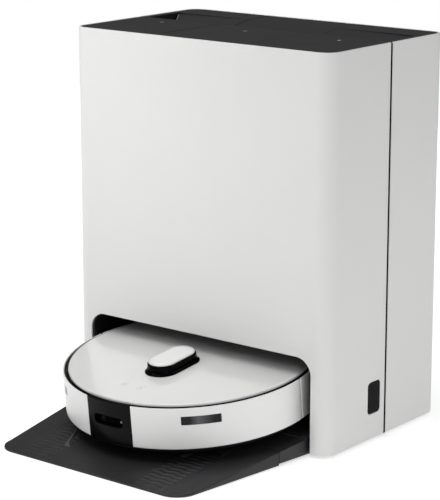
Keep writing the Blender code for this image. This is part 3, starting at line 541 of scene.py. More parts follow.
def build_deck():
    """Bag bay cover and two tank covers: slabs with a sloping finger channel, the outer two with a grip."""
    ink = "pale icon ink"
    charcoal = "grained charcoal ABS"
    low = DOOR_LOW[2]
    y0, y1 = DOOR_LOW[1], DOOR_HIGH[1]
    x1 = DOOR_HIGH[0]
    door = prism("bag_bay_cover", rectangle(-x1, x1, y0, y1, 0.0008, 2), low, DECK_Z)
    carve(door, wedge("channel", -0.09, 0.09, 0.0))
    piece(soften(door, 0.0007, 3), charcoal, "bag_door", "bag_door")
    for side, tag, body, node in ((-1, "left", "clean_lid", "clean_tank_lid"),
                                  (1, "right", "dirty_lid", "dirty_tank_lid")):
        half = HALF_W - WALL - PLAY
        outline = fillet([(side * SPLIT, y0), (side * half, y0), (side * half, y1), (side * SPLIT, y1)],
                         [0.0008, CORNER_R - 0.0035, REAR_CORNER_R - 0.0035, 0.0008], 14)
        lid = prism("tank_cover_" + tag, outline, low, DECK_Z)
        inner, outer = mirrored(side, 0.1600, 0.2092)
        outline = rectangle(inner, outer, 0.1262, 0.1968, 0.003, 4)
        carve(lid, prism("cup", outline, GRIP_FLOOR - 0.0025, low + 0.002), operation="UNION")
        inner, outer = mirrored(side, 0.0700, 0.2070)
        hole = fillet([(side * 0.1630, 0.1285), (side * 0.2050, 0.1945), (side * 0.2070, 0.1945),
                       (side * 0.2070, 0.1285)], [0.0, 0.0015, 0.0008, 0.0], 4)
        carve(lid, wedge("channel", inner, outer, CHANNEL_TILT), prism("grip", hole, GRIP_FLOOR, 0.56))
        piece(soften(lid, 0.0007, 3), charcoal, body, node)
        lip = build_grip_lip(side)
        # grey rim: a painted highlight along the lit grip edge
        piece(soften(lip, 0.0004, 2), "grey ABS", body)
        piece(drop_icon("tank_icon_" + tag, side * 0.154, 0.094, side < 0), ink, body)
    piece(bag_icon("bag_icon", -0.002, 0.092), ink, "bag_door")


def build_grip_lip(side):
    """Thin rim along the slanted edge between the channel floor and the grip hole: a real raised rim, its
    grey a painted highlight of that lit edge.
    """
    start = np.array([side * 0.1625, 0.1290])
    end = np.array([side * 0.2045, 0.1935])
    along = (end - start) / np.linalg.norm(end - start)
    across = np.array([along[1], -along[0]]) * (-side)
    t = np.linspace(0.0, 1.0, 12)[:, None]
    middle = start + t * (end - start)
    rise = (middle[:, 1:] - CHANNEL[0]) / (CHANNEL[1] - CHANNEL[0])
    floor = DECK_Z - CHANNEL_DEEP * (1 - rise) - CHANNEL_TILT * (np.abs(middle[:, :1]) - SPLIT)
    rings = []
    for offset, height in ((-0.0006, -0.0030), (0.0006, -0.0030), (0.0006, 0.0009), (-0.0006, 0.0009)):
        rings.append(np.concatenate([middle + across * offset, floor + height], 1))
    return swept("grip_lip_" + ("left" if side < 0 else "right"), np.stack(rings, 1))


def drop_icon(name, x, y, hollow):
    """Water drop: a circle whose top is drawn out, radius 1 plus a bell curve about the top."""
    angle = full_turn(40)
    radius = 0.0024 * (1.0 + 0.75 * np.exp(-((angle - math.pi / 2) / 0.35) ** 2))
    drop = inked(name, circle(x, y, radius, angle))
    if hollow:
        carve(drop, prism("inner", circle(x, y, 0.7 * radius, angle), DECK_Z - 0.001, DECK_Z + 0.001))
    return drop


def inked(name, outline):
    """A printed mark: its outline sunk a little into the deck and standing a hair above it."""
    return prism(name, outline, DECK_Z + INK[0], DECK_Z + INK[1])


def bag_icon(name, x, y):
    """Small bag: a rounded square outline with a short handle bar above it."""
    body = inked(name, rectangle(x - 0.0024, x + 0.0024, y - 0.0026, y + 0.0016, 0.0006, 3))
    carve(body, prism("inner", rectangle(x - 0.0018, x + 0.0018, y - 0.0020, y + 0.0010, 0.0003, 3),
                      DECK_Z - 0.001, DECK_Z + 0.001))
    return join(body, inked("bar", rectangle(x - 0.0012, x + 0.0012, y + 0.0022, y + 0.0028, 0.0002, 2)))


# ------------------------------------------------------------------ ramp

def ramp_half(y):
    """Half width of the ramp: a straight taper less a quarter-circle corner at the front edge."""
    corner = 0.026
    taper = 0.1688 + 0.12 * (y + 0.18)
    into = np.clip(corner - (y - RAMP_LOW[1]), 0.0, corner)
    return taper - (corner - np.sqrt(corner ** 2 - into ** 2))


def ramp_relief(x, y):
    """Height above the driving plane: wavy treads inside, flanks that fall away beyond a thin crease."""
    across = np.abs(x)
    zone = (ease(TREADS[0], TREADS[0] + 0.003, across) * ease(TREADS[1], TREADS[1] - 0.003, across)
            * ease(-0.2460, -0.2430, y) * ease(-0.1270, -0.1300, y))
    phase = 2 * math.pi * (y + 0.0011 * np.sin(2 * math.pi * across / 0.0225)) / 0.0092
    treads = 0.0009 * zone * (0.5 + 0.5 * np.cos(phase)) ** 1.6
    fall = 0.057 * np.maximum(across - CREASE + PLAY, 0.0) * ease(-0.2480, -0.2200, y)
    crease = 0.0010 * np.exp(-((across - CREASE) / 0.0012) ** 2) * ease(-0.2380, -0.2200, y)
    return treads - fall - crease


def build_ramp():
    """The ramp as one loop section per station along y: relief on top, flat below, rounded rims."""
    y0, y1 = RAMP_LOW[1], RAMP_HIGH[1]
    rim = np.array([0.0, 0.0002, 0.0006, 0.0012])
    y = np.concatenate([y0 + rim, np.linspace(y0 + 0.0020, y1 - 0.0010, 230), y1 - rim[2::-1]])
    half = ramp_half(y)[:, None]
    inner = np.linspace(-1.0, 1.0, 300)[None, :] * (half - 0.0018)
    x = np.concatenate([-half + rim[None], inner, half - rim[None, ::-1]], 1)
    rows = y[:, None] + 0 * x

    def drop(distance):
        """Quarter-round fall of a rim 1.2 mm wide."""
        gap = 0.0012 - np.clip(distance, 0.0, 0.0012)
        return 0.0012 - np.sqrt(np.maximum(0.0012 ** 2 - gap ** 2, 0.0))

    fall = np.maximum(drop(half - np.abs(x)), drop(rows - y0))
    top = np.maximum(slope(rows) + ramp_relief(x, rows) - fall, RAMP_LOW[2] + 0.0003)
    upper = np.stack([x, rows, top], -1)
    floor = np.full((len(y), 1), RAMP_LOW[2])
    right = np.stack([half, y[:, None], floor], -1)
    left = np.stack([-half, y[:, None], floor], -1)
    ramp = swept("entry_ramp", np.concatenate([upper, right, left], 1), sharp=40.0)
    piece(ramp, "charcoal polypropylene", "station", "ramp")
    # the left guide fin wears the paler copy as a painted highlight; the right fin, in shade, keeps the
    # plain polypropylene
    for side, tag, tall, finish in ((-1, "left", 0.0050, "charcoal polypropylene painted lit"),
                                    (1, "right", 0.0012, "charcoal polypropylene")):
        t = np.linspace(0.0, 1.0, 16)[:, None]
        ridge = np.concatenate([side * (0.0765 + 0.0300 * t), -0.2040 + 0.0570 * t], 1)
        width = 0.0058 * (1 - t) + 0.0008
        height = tall * (1 - t) + 0.0004
        floor = slope(ridge[:, 1:])
        lines = [(-width, -0.0010, -0.0010), (width, 0.0010, -0.0010),
                 (0.0004, 0.004 * (1 - t), height), (-0.0004, 0.004 * (1 - t), height)]
        corners = [np.concatenate([ridge[:, :1] + aside, ridge[:, 1:] + back, floor + lift], 1)
                   for aside, back, lift in lines]
        fin = swept("guide_fin_" + tag, np.stack(corners, 1), sharp=25.0)
        piece(fin, finish, "station")


# ------------------------------------------------------------------ robot body

def skin_section():
    """Bumper section: upright skin with a thin raised lip outside a lower ledge."""
    corners = [(R_SKIN, BUMPER_LOW), (R_SIDE, BUMPER_LOW), (R_SIDE, LIP_TOP), (R_INSIDE, LIP_TOP),
               (R_INSIDE, LEDGE), (R_SKIN, LEDGE)]
    return dense(fillet(corners, [0.0003, 0.0014, 0.0007, 0.0003, 0.0, 0.0003], 5), SPACING)


def curled(name, section, start, end, steps, rim, curl):
    """A section swept between two angles; at each end it draws in along a quarter circle of the rim."""
    curl = np.radians(curl)
    loops = [inset(section, rim * (1 - np.sin(c))) for c in curl]
    turns = np.degrees(rim * (1 - np.cos(curl)) / R_SIDE)
    angles = np.concatenate([start + turns, np.linspace(start, end, steps + 1)[1:-1], end - turns[::-1]])
    stations = loops + [section] * (steps - 1) + loops[::-1]
    grid = np.stack([round_grid(loop, angle, angle, 0)[0] for loop, angle in zip(stations, angles)])
    return swept(name, to_row(grid))


def wrapped(outline, radius, base):
    """An outline (arc length at the base radius, height) laid round the robot's axis at a radius."""
    angle = outline[:, 0] / base
    return np.column_stack([radius * np.sin(angle), -radius * np.cos(angle), outline[:, 1]])


def patch(low, high, start, end, base, corner, steps):
    """Rounded outline between two heights and two angles, as arc length at the base radius."""
    outline = rectangle(math.radians(start) * base, math.radians(end) * base, low, high, corner, steps)
    return dense(outline, SPACING)


def pocket(low, high, start, end, depth, corner):
    """Rounded opening through the skin between two heights and two angles, as a radial slab."""
    outline = patch(low, high, start, end, R_SIDE, corner, 5)
    rings = [wrapped(outline, radius, R_SIDE) for radius in (R_SIDE - depth, R_SIDE + 0.006)]
    return swept("pocket", to_row(np.stack(rings)))


def pane(name, low, high, start, end, inner, outer, corner, rim):
    """Curved plate with rounded corners: outlines at rising radius, drawn in over the rim at its face."""
    base = patch(low, high, start, end, outer, corner, 6)
    loops = [(base, inner)]
    for curl in np.radians(np.linspace(0.0, 90.0, 5)):
        loops.append((inset(base, rim * (1 - np.cos(curl))), outer - rim * (1 - np.sin(curl))))
    middle = base.mean(axis=0)
    for share in (0.75, 0.5, 0.25, 0.02):
        loops.append((middle + (inset(base, rim) - middle) * share, outer))
    return swept(name, to_row(np.stack([wrapped(loop, radius, outer) for loop, radius in loops])))


def build_robot_walls():
    """Bumper and rear wall with their sensor and contact openings, the panes in them and the ledges."""
    white = "semi-gloss white ABS"
    curl = [0.0, 35.0, 65.0, 90.0]
    rear_end = 360 - REAR_START
    bumper = curled("bumper_skin", skin_section(), -BUMPER_END, BUMPER_END, 188, PLAY, curl)
    carve(bumper, pocket(0.0150, 0.09, -12.25, 12.25, 0.0062, 0.0),
          pocket(0.0554, 0.0676, 34.35, 51.75, 0.0021, 0.0012),
          pocket(0.0554, 0.0676, -51.75, -34.35, 0.0021, 0.0012))
    piece(bumper, white, "bumper", "bumper")
    rear = curled("rear_wall_skin", skin_section(), REAR_START, rear_end, 170, PLAY, curl)
    carve(rear, pocket(0.0561, 0.0699, 165.95, 174.55, 0.0022, 0.001),
          pocket(0.0561, 0.0699, 185.45, 194.05, 0.0022, 0.001))
    piece(rear, white, "robot", "rear_side_wall")
    for tag, inner, start, end, steps, body in (("bumper", 0.1726, -BUMPER_END, BUMPER_END, 188, "bumper"),
                                                ("rear", 0.1728, REAR_START, rear_end, 160, "robot")):
        strip = rectangle(inner, 0.1755, LEDGE, LEDGE + PLAY, 0.0001, 1)
        ledge = swept(tag + "_ledge_trim", to_row(round_grid(strip, start, end, steps)))
        piece(ledge, "matt black ABS", body)
    for side, tag in ((-1, "left"), (1, "right")):
        start, end = mirrored(side, 34.5, 51.6)
        glass = pane("bumper_window_pane_" + tag, 0.0555, 0.0675, start, end, R_INSIDE, 0.1774,
                     0.0012, 0.0003)
        # the window's finish carries a painted reflection band
        piece(glass, "infrared window with painted reflection", "bumper", "bumper_window_" + tag)
        start, end = (180 + turn for turn in mirrored(side, 6.0, 13.5))
        plate = pane("charge_strip_" + tag, 0.0563, 0.0697, start, end, R_INSIDE, 0.1774, 0.001, 0.0003)
        piece(plate, "gold plated contact", "robot", "charge_plate_" + tag)


def build_camera_block():
    """Gloss black nose block with a deep rounded eye slot; in it a dark lining painted as the slot's shade,
    two lenses and a grey disc painted as a glint.
    """
    corners = [(0.1715, 0.0212), (R_NOSE, 0.0212), (R_NOSE, 0.0806), (0.1764, 0.0806),
               (0.1764, 0.0750), (0.1715, 0.0750)]
    section = dense(fillet(corners, [0.0003, 0.0012, 0.0012, 0.0005, 0.0, 0.0003], 5), SPACING)
    block = curled("nose_block", section, -NOSE_TURN, NOSE_TURN, 32, 0.0006, [0.0, 30.0, 60.0, 90.0])
    carve(block, visor(0.0058, 0.0), visor(0.0012, 0.0012))
    piece(block, "black nose gloss", "bumper", "camera_block")
    # the slot's floor is lit; this black sheet over it paints the slot as shade
    lining = pane("eye_slot_painted_shade", 0.0466, 0.0581, -7.5, 7.5, 0.1722, 0.1730, 0.0046, 0.0002)
    piece(lining, "seam foam and painted slot shade", "bumper")
    # the third disc, tagged lamp, is grey as a painted highlight for the light fleck in the slot
    for tag, x, radius, finish in (("wide", -0.0110, 0.0040, "smoked lens"),
                                   ("far", 0.0040, 0.0030, "smoked lens"),
                                   ("lamp", 0.0190, 0.0017, "grey disc painted as a glint")):
        piece(lens(tag, x, 0.0520, radius), finish, "bumper")


def visor(depth, grow):
    """Cutting shape for the eye slot: flat below, bowed above, widening to its mouth."""
    half = 0.0235 + grow
    middle = (0.0, 0.0524)
    outline = dense(rectangle(-half, half, 0.0462 - grow, 0.0585 + grow, 0.0050 + grow, 8), 0.002)
    rings = []
    for back in (depth, -0.003):
        swell = 1.0 + 0.03 * (depth - back) / 0.009
        flat = (outline - middle) * swell + middle
        y = -np.sqrt(np.maximum((R_NOSE - back) ** 2 - flat[:, 0] ** 2, 0.0))
        rings.append(np.column_stack([flat[:, 0], y, flat[:, 1]]))
    return swept("visor", to_row(np.stack(rings)))


def lens(tag, x, z, radius):
    """A lens in its seat: a disc facing forwards with a domed middle and a raised rim."""
    t = np.linspace(0.0, 1.0, 14)
    reach = radius * t
    rise = np.where(t < 0.7, 0.0003 + 0.0005 * (1 - (t / 0.7) ** 2), 0.0004 * ease(0.7, 0.8, t) + 0.0002)
    reach = np.concatenate([reach, reach[::-1]])
    y = np.concatenate([LENS_FRONT - rise, 0 * rise + LENS_BACK])
    angle = full_turn(36)[:, None]
    grid = np.stack([x + reach * np.cos(angle), y + 0 * angle, z + reach * np.sin(angle)], -1)
    return revolved("eye_" + tag, grid)


def build_lid():
    """Round lid, dark trim ring, buttons with generic marks."""
    rim = fillet([(0.0, PLATE_TOP), (R_PLATE, PLATE_TOP), (R_PLATE, 0.0772), (0.1672, 0.0772),
                  (0.1672, 0.0795), (0.0, 0.0795)], [0.0, 0.0030, 0.0003, 0.0003, 0.0006, 0.0], 7)
    lid = turned("robot_lid", rim, 216)
    spots = {"power": -KEY_X, "home": KEY_X}
    holes = [disc("hole", x, KEY_Y, 0.00615, 0.070, 0.090, 40) for x in spots.values()]
    carve(lid, *holes)
    flat = lid.modifiers.new("flat faces", "WEIGHTED_NORMAL")
    flat.keep_sharp = True
    flat.weight = 80
    piece(lid, "white lacquered lid", "robot", "top_plate")
    strip = rectangle(0.1703, 0.1712, 0.0772, 0.0786, 0.0003, 2)
    trim = swept("lid_gap_ring", to_row(round_grid(strip, 0.0, 360.0, 216, False)), closed_path=True)
    piece(trim, "matt black ABS", "robot", "top_ring")
    for tag, x in spots.items():
        cap = disc(tag + "_key", x, KEY_Y, 0.0060, 0.0785, 0.08205, 40)
        piece(soften(cap, 0.0002), "white lacquered lid", tag + "_button", tag + "_button")
        piece(key_mark(tag, x), "grey icon ink", tag + "_button")


def disc(name, x, y, radius, low, high, steps):
    """An upright round slug in robot coordinates."""
    return seat(prism(name, circle(x, y, radius, full_turn(steps)), low, high))


def key_mark(tag, x):
    """Generic marks: a broken ring with a bar for power, an open pentagon for home."""
    low, high = 0.0820, 0.08215
    if tag == "power":
        angle = np.radians(np.linspace(125, 415, 30))
        outline = np.concatenate([circle(x, KEY_Y, 0.0026, angle), circle(x, KEY_Y, 0.0021, angle)[::-1]])
        mark = prism("power_mark", outline, low, high)
        bar = rectangle(x - 0.00028, x + 0.00028, KEY_Y + 0.0008, KEY_Y + 0.0031)
        join(mark, prism("bar", bar, low, high))
    else:
        house = np.array([(-0.0022, -0.0022), (0.0022, -0.0022), (0.0022, 0.0006),
                          (0.0, 0.0026), (-0.0022, 0.0006)])
        mark = prism("home_mark", house + (x, KEY_Y), low, high)
        inner = house * 0.74 + (x, KEY_Y - 0.0001)
        carve(mark, prism("inner", inner, low - 0.001, high + 0.001))
    return seat(mark)


def pill(half_x, half_y, steps=20):
    """Slot outline, longer front to back, centred on the turret."""
    return rectangle(-half_x, half_x, TURRET_Y - half_y, TURRET_Y + half_y, half_x - 0.0002, steps)


def build_turret():
    """Laser turret: black wall and white cap as stacked slot outlines, the drum with its eye between."""
    wall = [(0.0245, 0.0452, 0.0822), (0.0245, 0.0452, 0.0828), (0.0241, 0.0448, 0.0833),
            (0.0234, 0.0438, 0.0840), (0.0225, 0.0424, 0.0856), (0.0217, 0.0412, 0.0876),
            (0.0213, 0.0406, 0.0900), (0.0211, 0.0403, 0.0938), (0.0206, 0.0396, 0.0944)]
    wall = seat(layered("turret_wall", [(pill(x, y), z) for x, y, z in wall]))
    carve(wall, disc("well", 0.0, TURRET_Y, 0.0193, 0.0850, 0.1, 64))
    piece(wall, "black acrylic window", "robot", "turret_base")
    cap = [(0.0186, 0.0376, 0.0949), (0.0196, 0.0386, 0.0952), (0.0199, 0.0389, 0.0958),
           (0.0198, 0.0388, 0.0964), (0.0193, 0.0383, 0.0971), (0.0183, 0.0373, 0.0978),
           (0.0168, 0.0358, 0.0983), (0.0145, 0.0335, 0.0986), (0.0085, 0.0275, 0.0988)]
    cap = seat(layered("turret_top", [(pill(x, y), z) for x, y, z in cap]))
    piece(cap, "white lacquered lid", "robot", "turret_cap")
    drum = disc("laser_drum", 0.0, TURRET_Y, 0.0185, TURRET_SEAT, 0.0940, 72)
    outline = rectangle(-0.0060, 0.0060, 0.0868, 0.0926, 0.0015, 4)
    carve(drum, seat(prism("eye", outline, TURRET_Y - 0.03, TURRET_Y - 0.0165, 1)))
    piece(soften(drum, 0.0004), "matt black ABS", "lidar", "lidar_rotor")


def build_chassis():
    """Underpan: floor, chamfered edge, flange below the bumper and inner wall, with its wells cut out."""
    section = fillet([(0.0, 0.0155), (0.1635, 0.0155), (0.1635, 0.0765), (0.1665, 0.0765), (0.1665, 0.0200),
                      (0.1710, 0.0200), (0.1710, 0.0170), (0.1660, 0.0120), (0.0, 0.0120)],
                     [0.0, 0.001, 0.0005, 0.0005, 0.001, 0.0006, 0.002, 0.003, 0.0], 4)
    pan = turned("robot_underpan", section, 180)
    wells = []
    for x0, x1, y0, y1 in ((-0.1330, -0.0880, -0.064, 0.026), (0.0880, 0.1330, -0.064, 0.026),
                           (-0.0840, 0.0840, -0.0840, -0.0400)):
        wells.append(seat(prism("well", rectangle(x0, x1, y0, y1, 0.004, 4), 0.0, 0.018)))
    for x, y, radius in ((0.0, -0.136, 0.026), (*SIDE_BRUSH, 0.012),
                         (-MOP_X, MOP_Y, 0.012), (MOP_X, MOP_Y, 0.012)):
        wells.append(disc("hole", x, y, radius, 0.0, 0.020, 40))
    carve(pan, *wells)
    piece(soften(pan, 0.0004), "matt black ABS", "robot", "chassis")


# ------------------------------------------------------------------ tanks and dust bag

def build_tanks():
    """Rounded tanks: outer wall up from the floor, folded rim, inner wall back down, ribs on the flanks."""
    for tag, finish in (("clean_tank", "smoked polycarbonate"), ("dirty_tank", "dark polycarbonate")):
        (x0, y0, z0), (x1, y1, z1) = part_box(tag)

        def plan(gap, rib=0.0):
            """Rounded outline in from the box by a gap; ribs dent its flanks as bell curves 40 mm apart."""
            corner = max(0.012 - gap, 0.004)
            outline = dense(rectangle(x0 + gap, x1 - gap, y0 + gap, y1 - gap, corner, 8), 0.004)
            along = outline[:, 1]
            flank = np.abs(outline[:, 0] - (x0 + x1) / 2) > (x1 - x0) / 2 - gap - 0.0005
            wave = np.exp(-((np.mod(along - y0 - 0.020, 0.0400) - 0.0200) / 0.0040) ** 2)
            outline[:, 0] -= np.sign(outline[:, 0] - (x0 + x1) / 2) * rib * wave * flank
            return outline

        wall = 0.0022
        layers = [(plan(0.0040), z0), (plan(0.0014), z0 + 0.0008), (plan(0.0006), z0 + 0.0030)]
        layers += [(plan(0.0006, 0.0012), z) for z in np.linspace(z0 + 0.020, z1 - 0.030, 8)]
        layers += [(plan(0.0006), z1 - 0.0180), (plan(0.0), z1 - 0.0150), (plan(0.0), z1 - 0.0004),
                   (plan(0.0004), z1), (plan(wall), z1), (plan(wall + 0.0004), z1 - 0.0020),
                   (plan(wall + 0.0006), z0 + 0.0060), (plan(wall + 0.0040), z0 + 0.0030)]
        tank = layered(tag + "_shell", layers)
        piece(tank, finish, tag, tag)


def build_bag():
    """Dust bag as a slack lofted shell: its rounded plan swells and creases, under a stiff collar."""
    (x0, y0, z0), (x1, y1, z1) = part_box("dust_bag")
    rows, columns = 70, 180
    turn = full_turn(columns)[None, :]
    level = np.linspace(0.0, 1.0, rows)[:, None]
    power = 0.42 + 0.10 * np.sin(math.pi * level)
    half_x = (x1 - x0) / 2 * (0.90 + 0.07 * np.sin(math.pi * level))
    half_y = (y1 - y0) / 2 * (0.93 + 0.05 * np.sin(math.pi * level))
    pinch = 1.0 - 0.16 * np.exp(-(level / 0.05) ** 2) - 0.10 * np.exp(-((1 - level) / 0.04) ** 2)
    fold = (0.0016 * np.sin(9 * turn + 5 * level) * np.sin(math.pi * level)
            + 0.0012 * np.sin(17 * turn - 9 * level + 1.0) * np.sin(math.pi * level) ** 2
            + 0.0010 * np.sin(26 * level + 2.5 * np.sin(2 * turn)) * np.sin(math.pi * level))
    cosine, sine = np.cos(turn), np.sin(turn)
    x = half_x * pinch * np.sign(cosine) * np.abs(cosine) ** power
    y = half_y * pinch * np.sign(sine) * np.abs(sine) ** power
    reach = 1 + fold / np.hypot(x, y)
    top = z1 - 0.0030
    height = z0 + (top - z0) * level + 0 * turn
    grid = np.stack([(x0 + x1) / 2 + x * reach, (y0 + y1) / 2 + y * reach, height], -1)
    ends = [row * (share, share, 1.0) + np.array([0.0, (y0 + y1) / 2 * (1 - share), 0.0])
            for row, share in ((grid[:1], 0.05), (grid[:1], 0.5), (grid[-1:], 0.5), (grid[-1:], 0.05))]
    bag = swept("dust_bag_sack", np.concatenate([*ends[:2], grid, *ends[2:]]), sharp=60.0)
    piece(bag, "non-woven fleece", "station", "dust_bag")
    outline = rectangle(-0.055, 0.055, 0.095, y1 - 0.004, 0.008, 6)
    collar = prism("dust_bag_collar", outline, top - 0.0004, z1)
    carve(collar, prism("mouth", rectangle(-0.018, 0.018, 0.132, 0.168, 0.0179, 12), top - 0.01, z1 + 0.01))
    piece(soften(collar, 0.0004), "white card", "station")


# ------------------------------------------------------------------ robot running gear

def axle_grid(centre, radius, along):
    """Round body on a sideways axle: x along the axle, radius turned about it; arrays (angle, along)."""
    turn = full_turn(radius.shape[0])[:, None]
    return np.stack([centre[0] + along + 0 * turn, centre[1] + radius * np.cos(turn),
                     centre[2] + radius * np.sin(turn)], -1)


def build_wheels():
    """Tyres with slanted lugs: radius falls in grooves whose phase shifts across the tread; dished hubs."""
    for side, tag in ((-1, "left"), (1, "right")):
        centre = (side * WHEEL_X, -0.0100, 0.0320)
        across = np.concatenate([[-0.0110, -0.0108, -0.0100], np.linspace(-0.0085, 0.0085, 18),
                                 [0.0100, 0.0108, 0.0110]])[None, :]
        turn = full_turn(288)[:, None]
        shoulder = 0.0320 - 0.0022 * np.clip((np.abs(across) - 0.0080) / 0.0030, 0, 1) ** 2
        lug = ease(0.15, 0.45, np.cos(24 * turn + np.abs(across) * 520))
        radius = shoulder - 0.0016 * lug * ease(0.0105, 0.0080, np.abs(across))
        rims = [np.full((288, 1), value) for value in (0.0, 0.0235, 0.0245)]
        radius = np.concatenate([*rims, radius, *rims[::-1]], 1)
        along = np.concatenate([[[-0.0085, -0.0085, -0.0108]], across, [[0.0108, 0.0085, 0.0085]]], 1)
        tyre = revolved("tyre_" + tag, axle_grid(centre, radius, along), 30.0)
        piece(tyre, "tyre rubber", "wheel_" + tag, "wheel_" + tag)
        turn = full_turn(120)[:, None]
        reach = np.array([[0.0, 0.0040, 0.0052, 0.0060, 0.0150, 0.0200, 0.0222, 0.0222, 0.0]])
        rise = np.array([[0.0020, 0.0020, 0.0014, 0.0002, 0.0002, 0.0012, 0.0014, 0.0, 0.0]])
        spoke = ease(0.0, 0.4, np.cos(5 * turn)) * ease(0.006, 0.009, reach) * ease(0.0195, 0.0165, reach)
        middle = (centre[0] + side * 0.0084, *centre[1:])
        hub = axle_grid(middle, reach + 0 * turn, side * (rise + 0.0008 * spoke))
        piece(revolved("hub_" + tag, hub, 30.0), "grey ABS", "wheel_" + tag)
    half = np.array([(0.0, 0.0070, 0.0095, 0.0108, 0.0113, 0.0115),
                     (0.0076, 0.0078, 0.0074, 0.0062, 0.0045, 0.0020)])
    reach = np.concatenate([half[:1], half[:1, ::-1]], 1)
    along = np.concatenate([-half[1:], half[1:, ::-1]], 1)
    roller = revolved("castor_roller", axle_grid(CASTER, np.repeat(reach, 72, 0), along))
    piece(roller, "natural rubber", "caster_wheel", "caster_wheel")


def build_brushes():
    """Main roller with six twisted fins, side brush with three bristle tufts, and two mop pads."""
    turn = full_turn(ROUND_STEPS)[:, None]
    across = np.linspace(-0.0800, 0.0800, 120)[None, :]
    twist = np.abs(across) * 22.0
    fin = np.clip(np.cos(6 * (turn - twist)), 0.0, 1.0) ** 5
    radius = 0.0098 + 0.0088 * fin
    shaft = np.tile([[0.0, 0.0040]], (ROUND_STEPS, 1))
    radius = np.concatenate([shaft, radius, shaft[:, ::-1]], 1)
    along = np.concatenate([[[-0.0800, -0.0800]], across, [[0.0800, 0.0800]]], 1)
    roller = revolved("main_roller", axle_grid(MAIN_BRUSH, radius, along))
    piece(roller, "natural rubber", "main_brush", "main_brush")
    hub = disc("side_brush_hub", *SIDE_BRUSH, 0.0085, 0.0045, 0.0260, 40)
    tufts = 3
    strands = 16
    spread = np.linspace(-0.16, 0.16, strands)[None, :, None]
    base = (np.arange(tufts) * 2 * math.pi / tufts + 0.35)[:, None, None]
    t = np.linspace(0.0, 1.0, 7)[None, None, :]
    heading = base + spread * (0.3 + 0.7 * t) - 0.18 * t ** 2
    length = 0.0070 + 0.0268 * t * (1 - 0.05 * np.cos(spread * 40))
    x, y = SIDE_BRUSH
    centre = np.stack([x + length * np.cos(heading), y + length * np.sin(heading),
                       0.0052 - 0.0016 * t ** 2 + 0 * heading], -1).reshape(-1, 7, 3)
    thick = 0.00032
    away = np.gradient(centre, axis=1)
    away /= np.linalg.norm(away, axis=2)[..., None]
    aside = np.stack([-away[..., 1], away[..., 0], 0 * away[..., 0]], -1) * thick
    upright = np.array([0.0, 0.0, thick])
    tube = np.stack([centre + aside, centre + upright, centre - aside, centre - upright], 2)
    bristles = [swept("bristle", to_row(strand)) for strand in tube]
    piece(soften(hub, 0.0006), "matt black ABS", "side_brush")
    piece(join(*bristles), "nylon bristle", "side_brush", "side_brush")
    for side, tag in ((-1, "left"), (1, "right")):
        pad = mop_pad(tag, side * MOP_X, MOP_Y)
        piece(pad, "looped microfibre", "mop_" + tag, "mop_pad_" + tag)


def mop_pad(tag, x, y):
    """Round cloth pad: crowned rim, six sewn radial channels pressed in underneath and a flat top."""
    turn = full_turn(ROUND_STEPS)[:, None]
    edge = np.radians(np.linspace(-90.0, 90.0, 13))
    under = np.linspace(0.0, 0.0630, 44)
    radius = np.concatenate([under, 0.0631 + 0.0029 * np.cos(edge), under[::-1]])[None, :]
    height = np.concatenate([0 * under + 0.0008, 0.0037 + 0.0029 * np.sin(edge), 0 * under + 0.0066])
    height = height[None, :]
    beneath = height < 0.0037
    sewn = np.exp(-(np.sin(3 * turn) * radius / 0.0030) ** 2) * ease(0.006, 0.014, radius)
    ringed = np.exp(-((radius - 0.0580) / 0.0012) ** 2)
    loops = 0.00022 * np.sin(radius * 3100) * np.sin(turn * 60)
    lift = beneath * (0.0013 * np.clip(sewn + 0.6 * ringed, 0, 1) + loops * ease(0.004, 0.012, radius))
    grid = np.stack([x + radius * np.cos(turn), y + radius * np.sin(turn), height + lift + 0 * turn], -1)
    return revolved("mop_cloth_" + tag, grid, 60.0)


# ------------------------------------------------------------------ carried-over nodes

def dress_nodes():
    """Finishes for the nodes whose own shape is kept."""
    wear = {
        "charcoal polypropylene": ("base_plate", "wash_tray"),
        "matt black ABS": ("garage_liner", "core_frame", "suction_motor", "robot_fan", "wheel_arm_left",
                           "wheel_arm_right", "caster_fork", "power_inlet", "dirty_pump", "battery_pack"),
        "grey ABS": ("air_duct", "clean_pump", "suction_impeller", "mop_disc_left", "mop_disc_right",
                     "dust_bin"),
        "zinc plated steel": ("power_supply",),
        "epoxy circuit board": ("station_board", "robot_board"),
        "natural rubber": ("foot_front_left", "foot_front_right", "foot_rear_left", "foot_rear_right"),
        "gold plated contact": ("charge_contact_left", "charge_contact_right"),
    }
    for finish, names in wear.items():
        for name in names:
            for holder in frame["nodes"][name].material_slots:
                holder.material = FINISH[finish]


# ------------------------------------------------------------------ studio

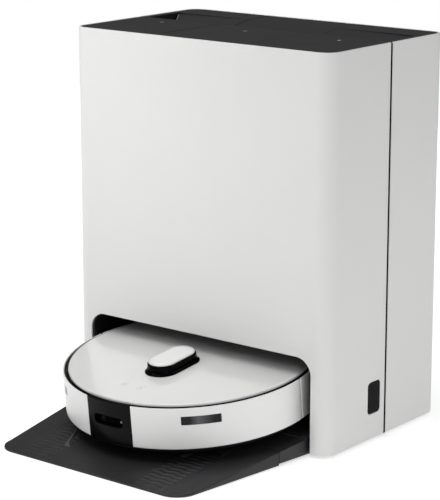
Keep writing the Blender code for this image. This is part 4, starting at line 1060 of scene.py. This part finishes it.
def build_studio():
    """White surroundings, a floor that pales into them with distance, three area lights and the camera."""
    scene = bpy.context.scene
    scene.view_settings.view_transform = "Standard"
    world = bpy.data.worlds.new("studio")
    world.use_nodes = True
    sky = world.node_tree.nodes["Background"]
    sky.inputs["Color"].default_value = (1.0, 1.0, 1.0, 1.0)
    seen = add(world, "LightPath").outputs["Is Camera Ray"]
    strength = add(world, "MapRange", {"Value": seen, "To Min": 0.16, "To Max": 1.0})
    world.node_tree.links.new(strength.outputs["Result"], sky.inputs["Strength"])
    scene.world = world
    size = 2.2
    corners = np.array([(-size, -size, 0.0), (size, -size, 0.0), (size, size, 0.0), (-size, size, 0.0)])
    mesh = bpy.data.meshes.new("floor")
    mesh.from_pydata(corners.tolist(), [], [(0, 1, 2, 3)])
    floor = bpy.data.objects.new("floor", mesh)
    scene.collection.objects.link(floor)
    pale = bpy.data.materials.new("pale studio floor")
    pale.use_nodes = True
    shader = pale.node_tree.nodes["Principled BSDF"]
    shader.inputs["Base Color"].default_value = linear("F6F6F6")
    shader.inputs["Roughness"].default_value = 0.9
    shader.inputs["Emission Color"].default_value = (1.0, 1.0, 1.0, 1.0)
    away = add(pale, "VectorMath", {0: add(pale, "TexCoord").outputs["Object"]}, operation="LENGTH")
    glow = add(pale, "MapRange", {"Value": away.outputs["Value"], "From Min": 0.7, "From Max": 1.5,
                                  "To Min": 0.60, "To Max": 1.0})
    pale.node_tree.links.new(glow.outputs["Result"], shader.inputs["Emission Strength"])
    mesh.materials.append(pale)
    for name, place, aim, width, spread, power in (
            ("key", (-0.60, -0.70, 0.90), (-0.20, 0.0, 0.50), 0.5, 55, 0.33),
            ("fill", (2.6, -1.6, 1.5), (0.0, 0.0, 0.2), 2.2, 180, 12.4),
            ("top", (-0.5, -0.6, 3.0), (0.0, -0.1, 0.0), 2.4, 180, 49.5)):
        light = bpy.data.lights.new(name, "AREA")
        light.size = width
        light.spread = math.radians(spread)
        light.energy = power
        lamp = bpy.data.objects.new(name, light)
        scene.collection.objects.link(lamp)
        lamp.location = place
        away = np.array(place) - np.array(aim)
        flat = math.hypot(away[0], away[1])
        lamp.rotation_euler = (math.atan2(flat, away[2]), 0.0, math.atan2(away[0], -away[1]))
    camera = bpy.data.objects.new("camera", bpy.data.cameras.new("camera"))
    scene.collection.objects.link(camera)
    camera.location = (1.6835, -2.0884, 0.9078)
    camera.rotation_euler = (math.radians(90 - 13.70), 0.0, math.radians(38.43))
    camera.data.lens = 144.4
    camera.data.sensor_width = 36.0
    scene.camera = camera


build_walls()
build_deck()
build_ramp()
build_robot_walls()
build_camera_block()
build_lid()
build_turret()
build_chassis()
build_tanks()
build_bag()
build_wheels()
build_brushes()
dress_nodes()
build_studio()
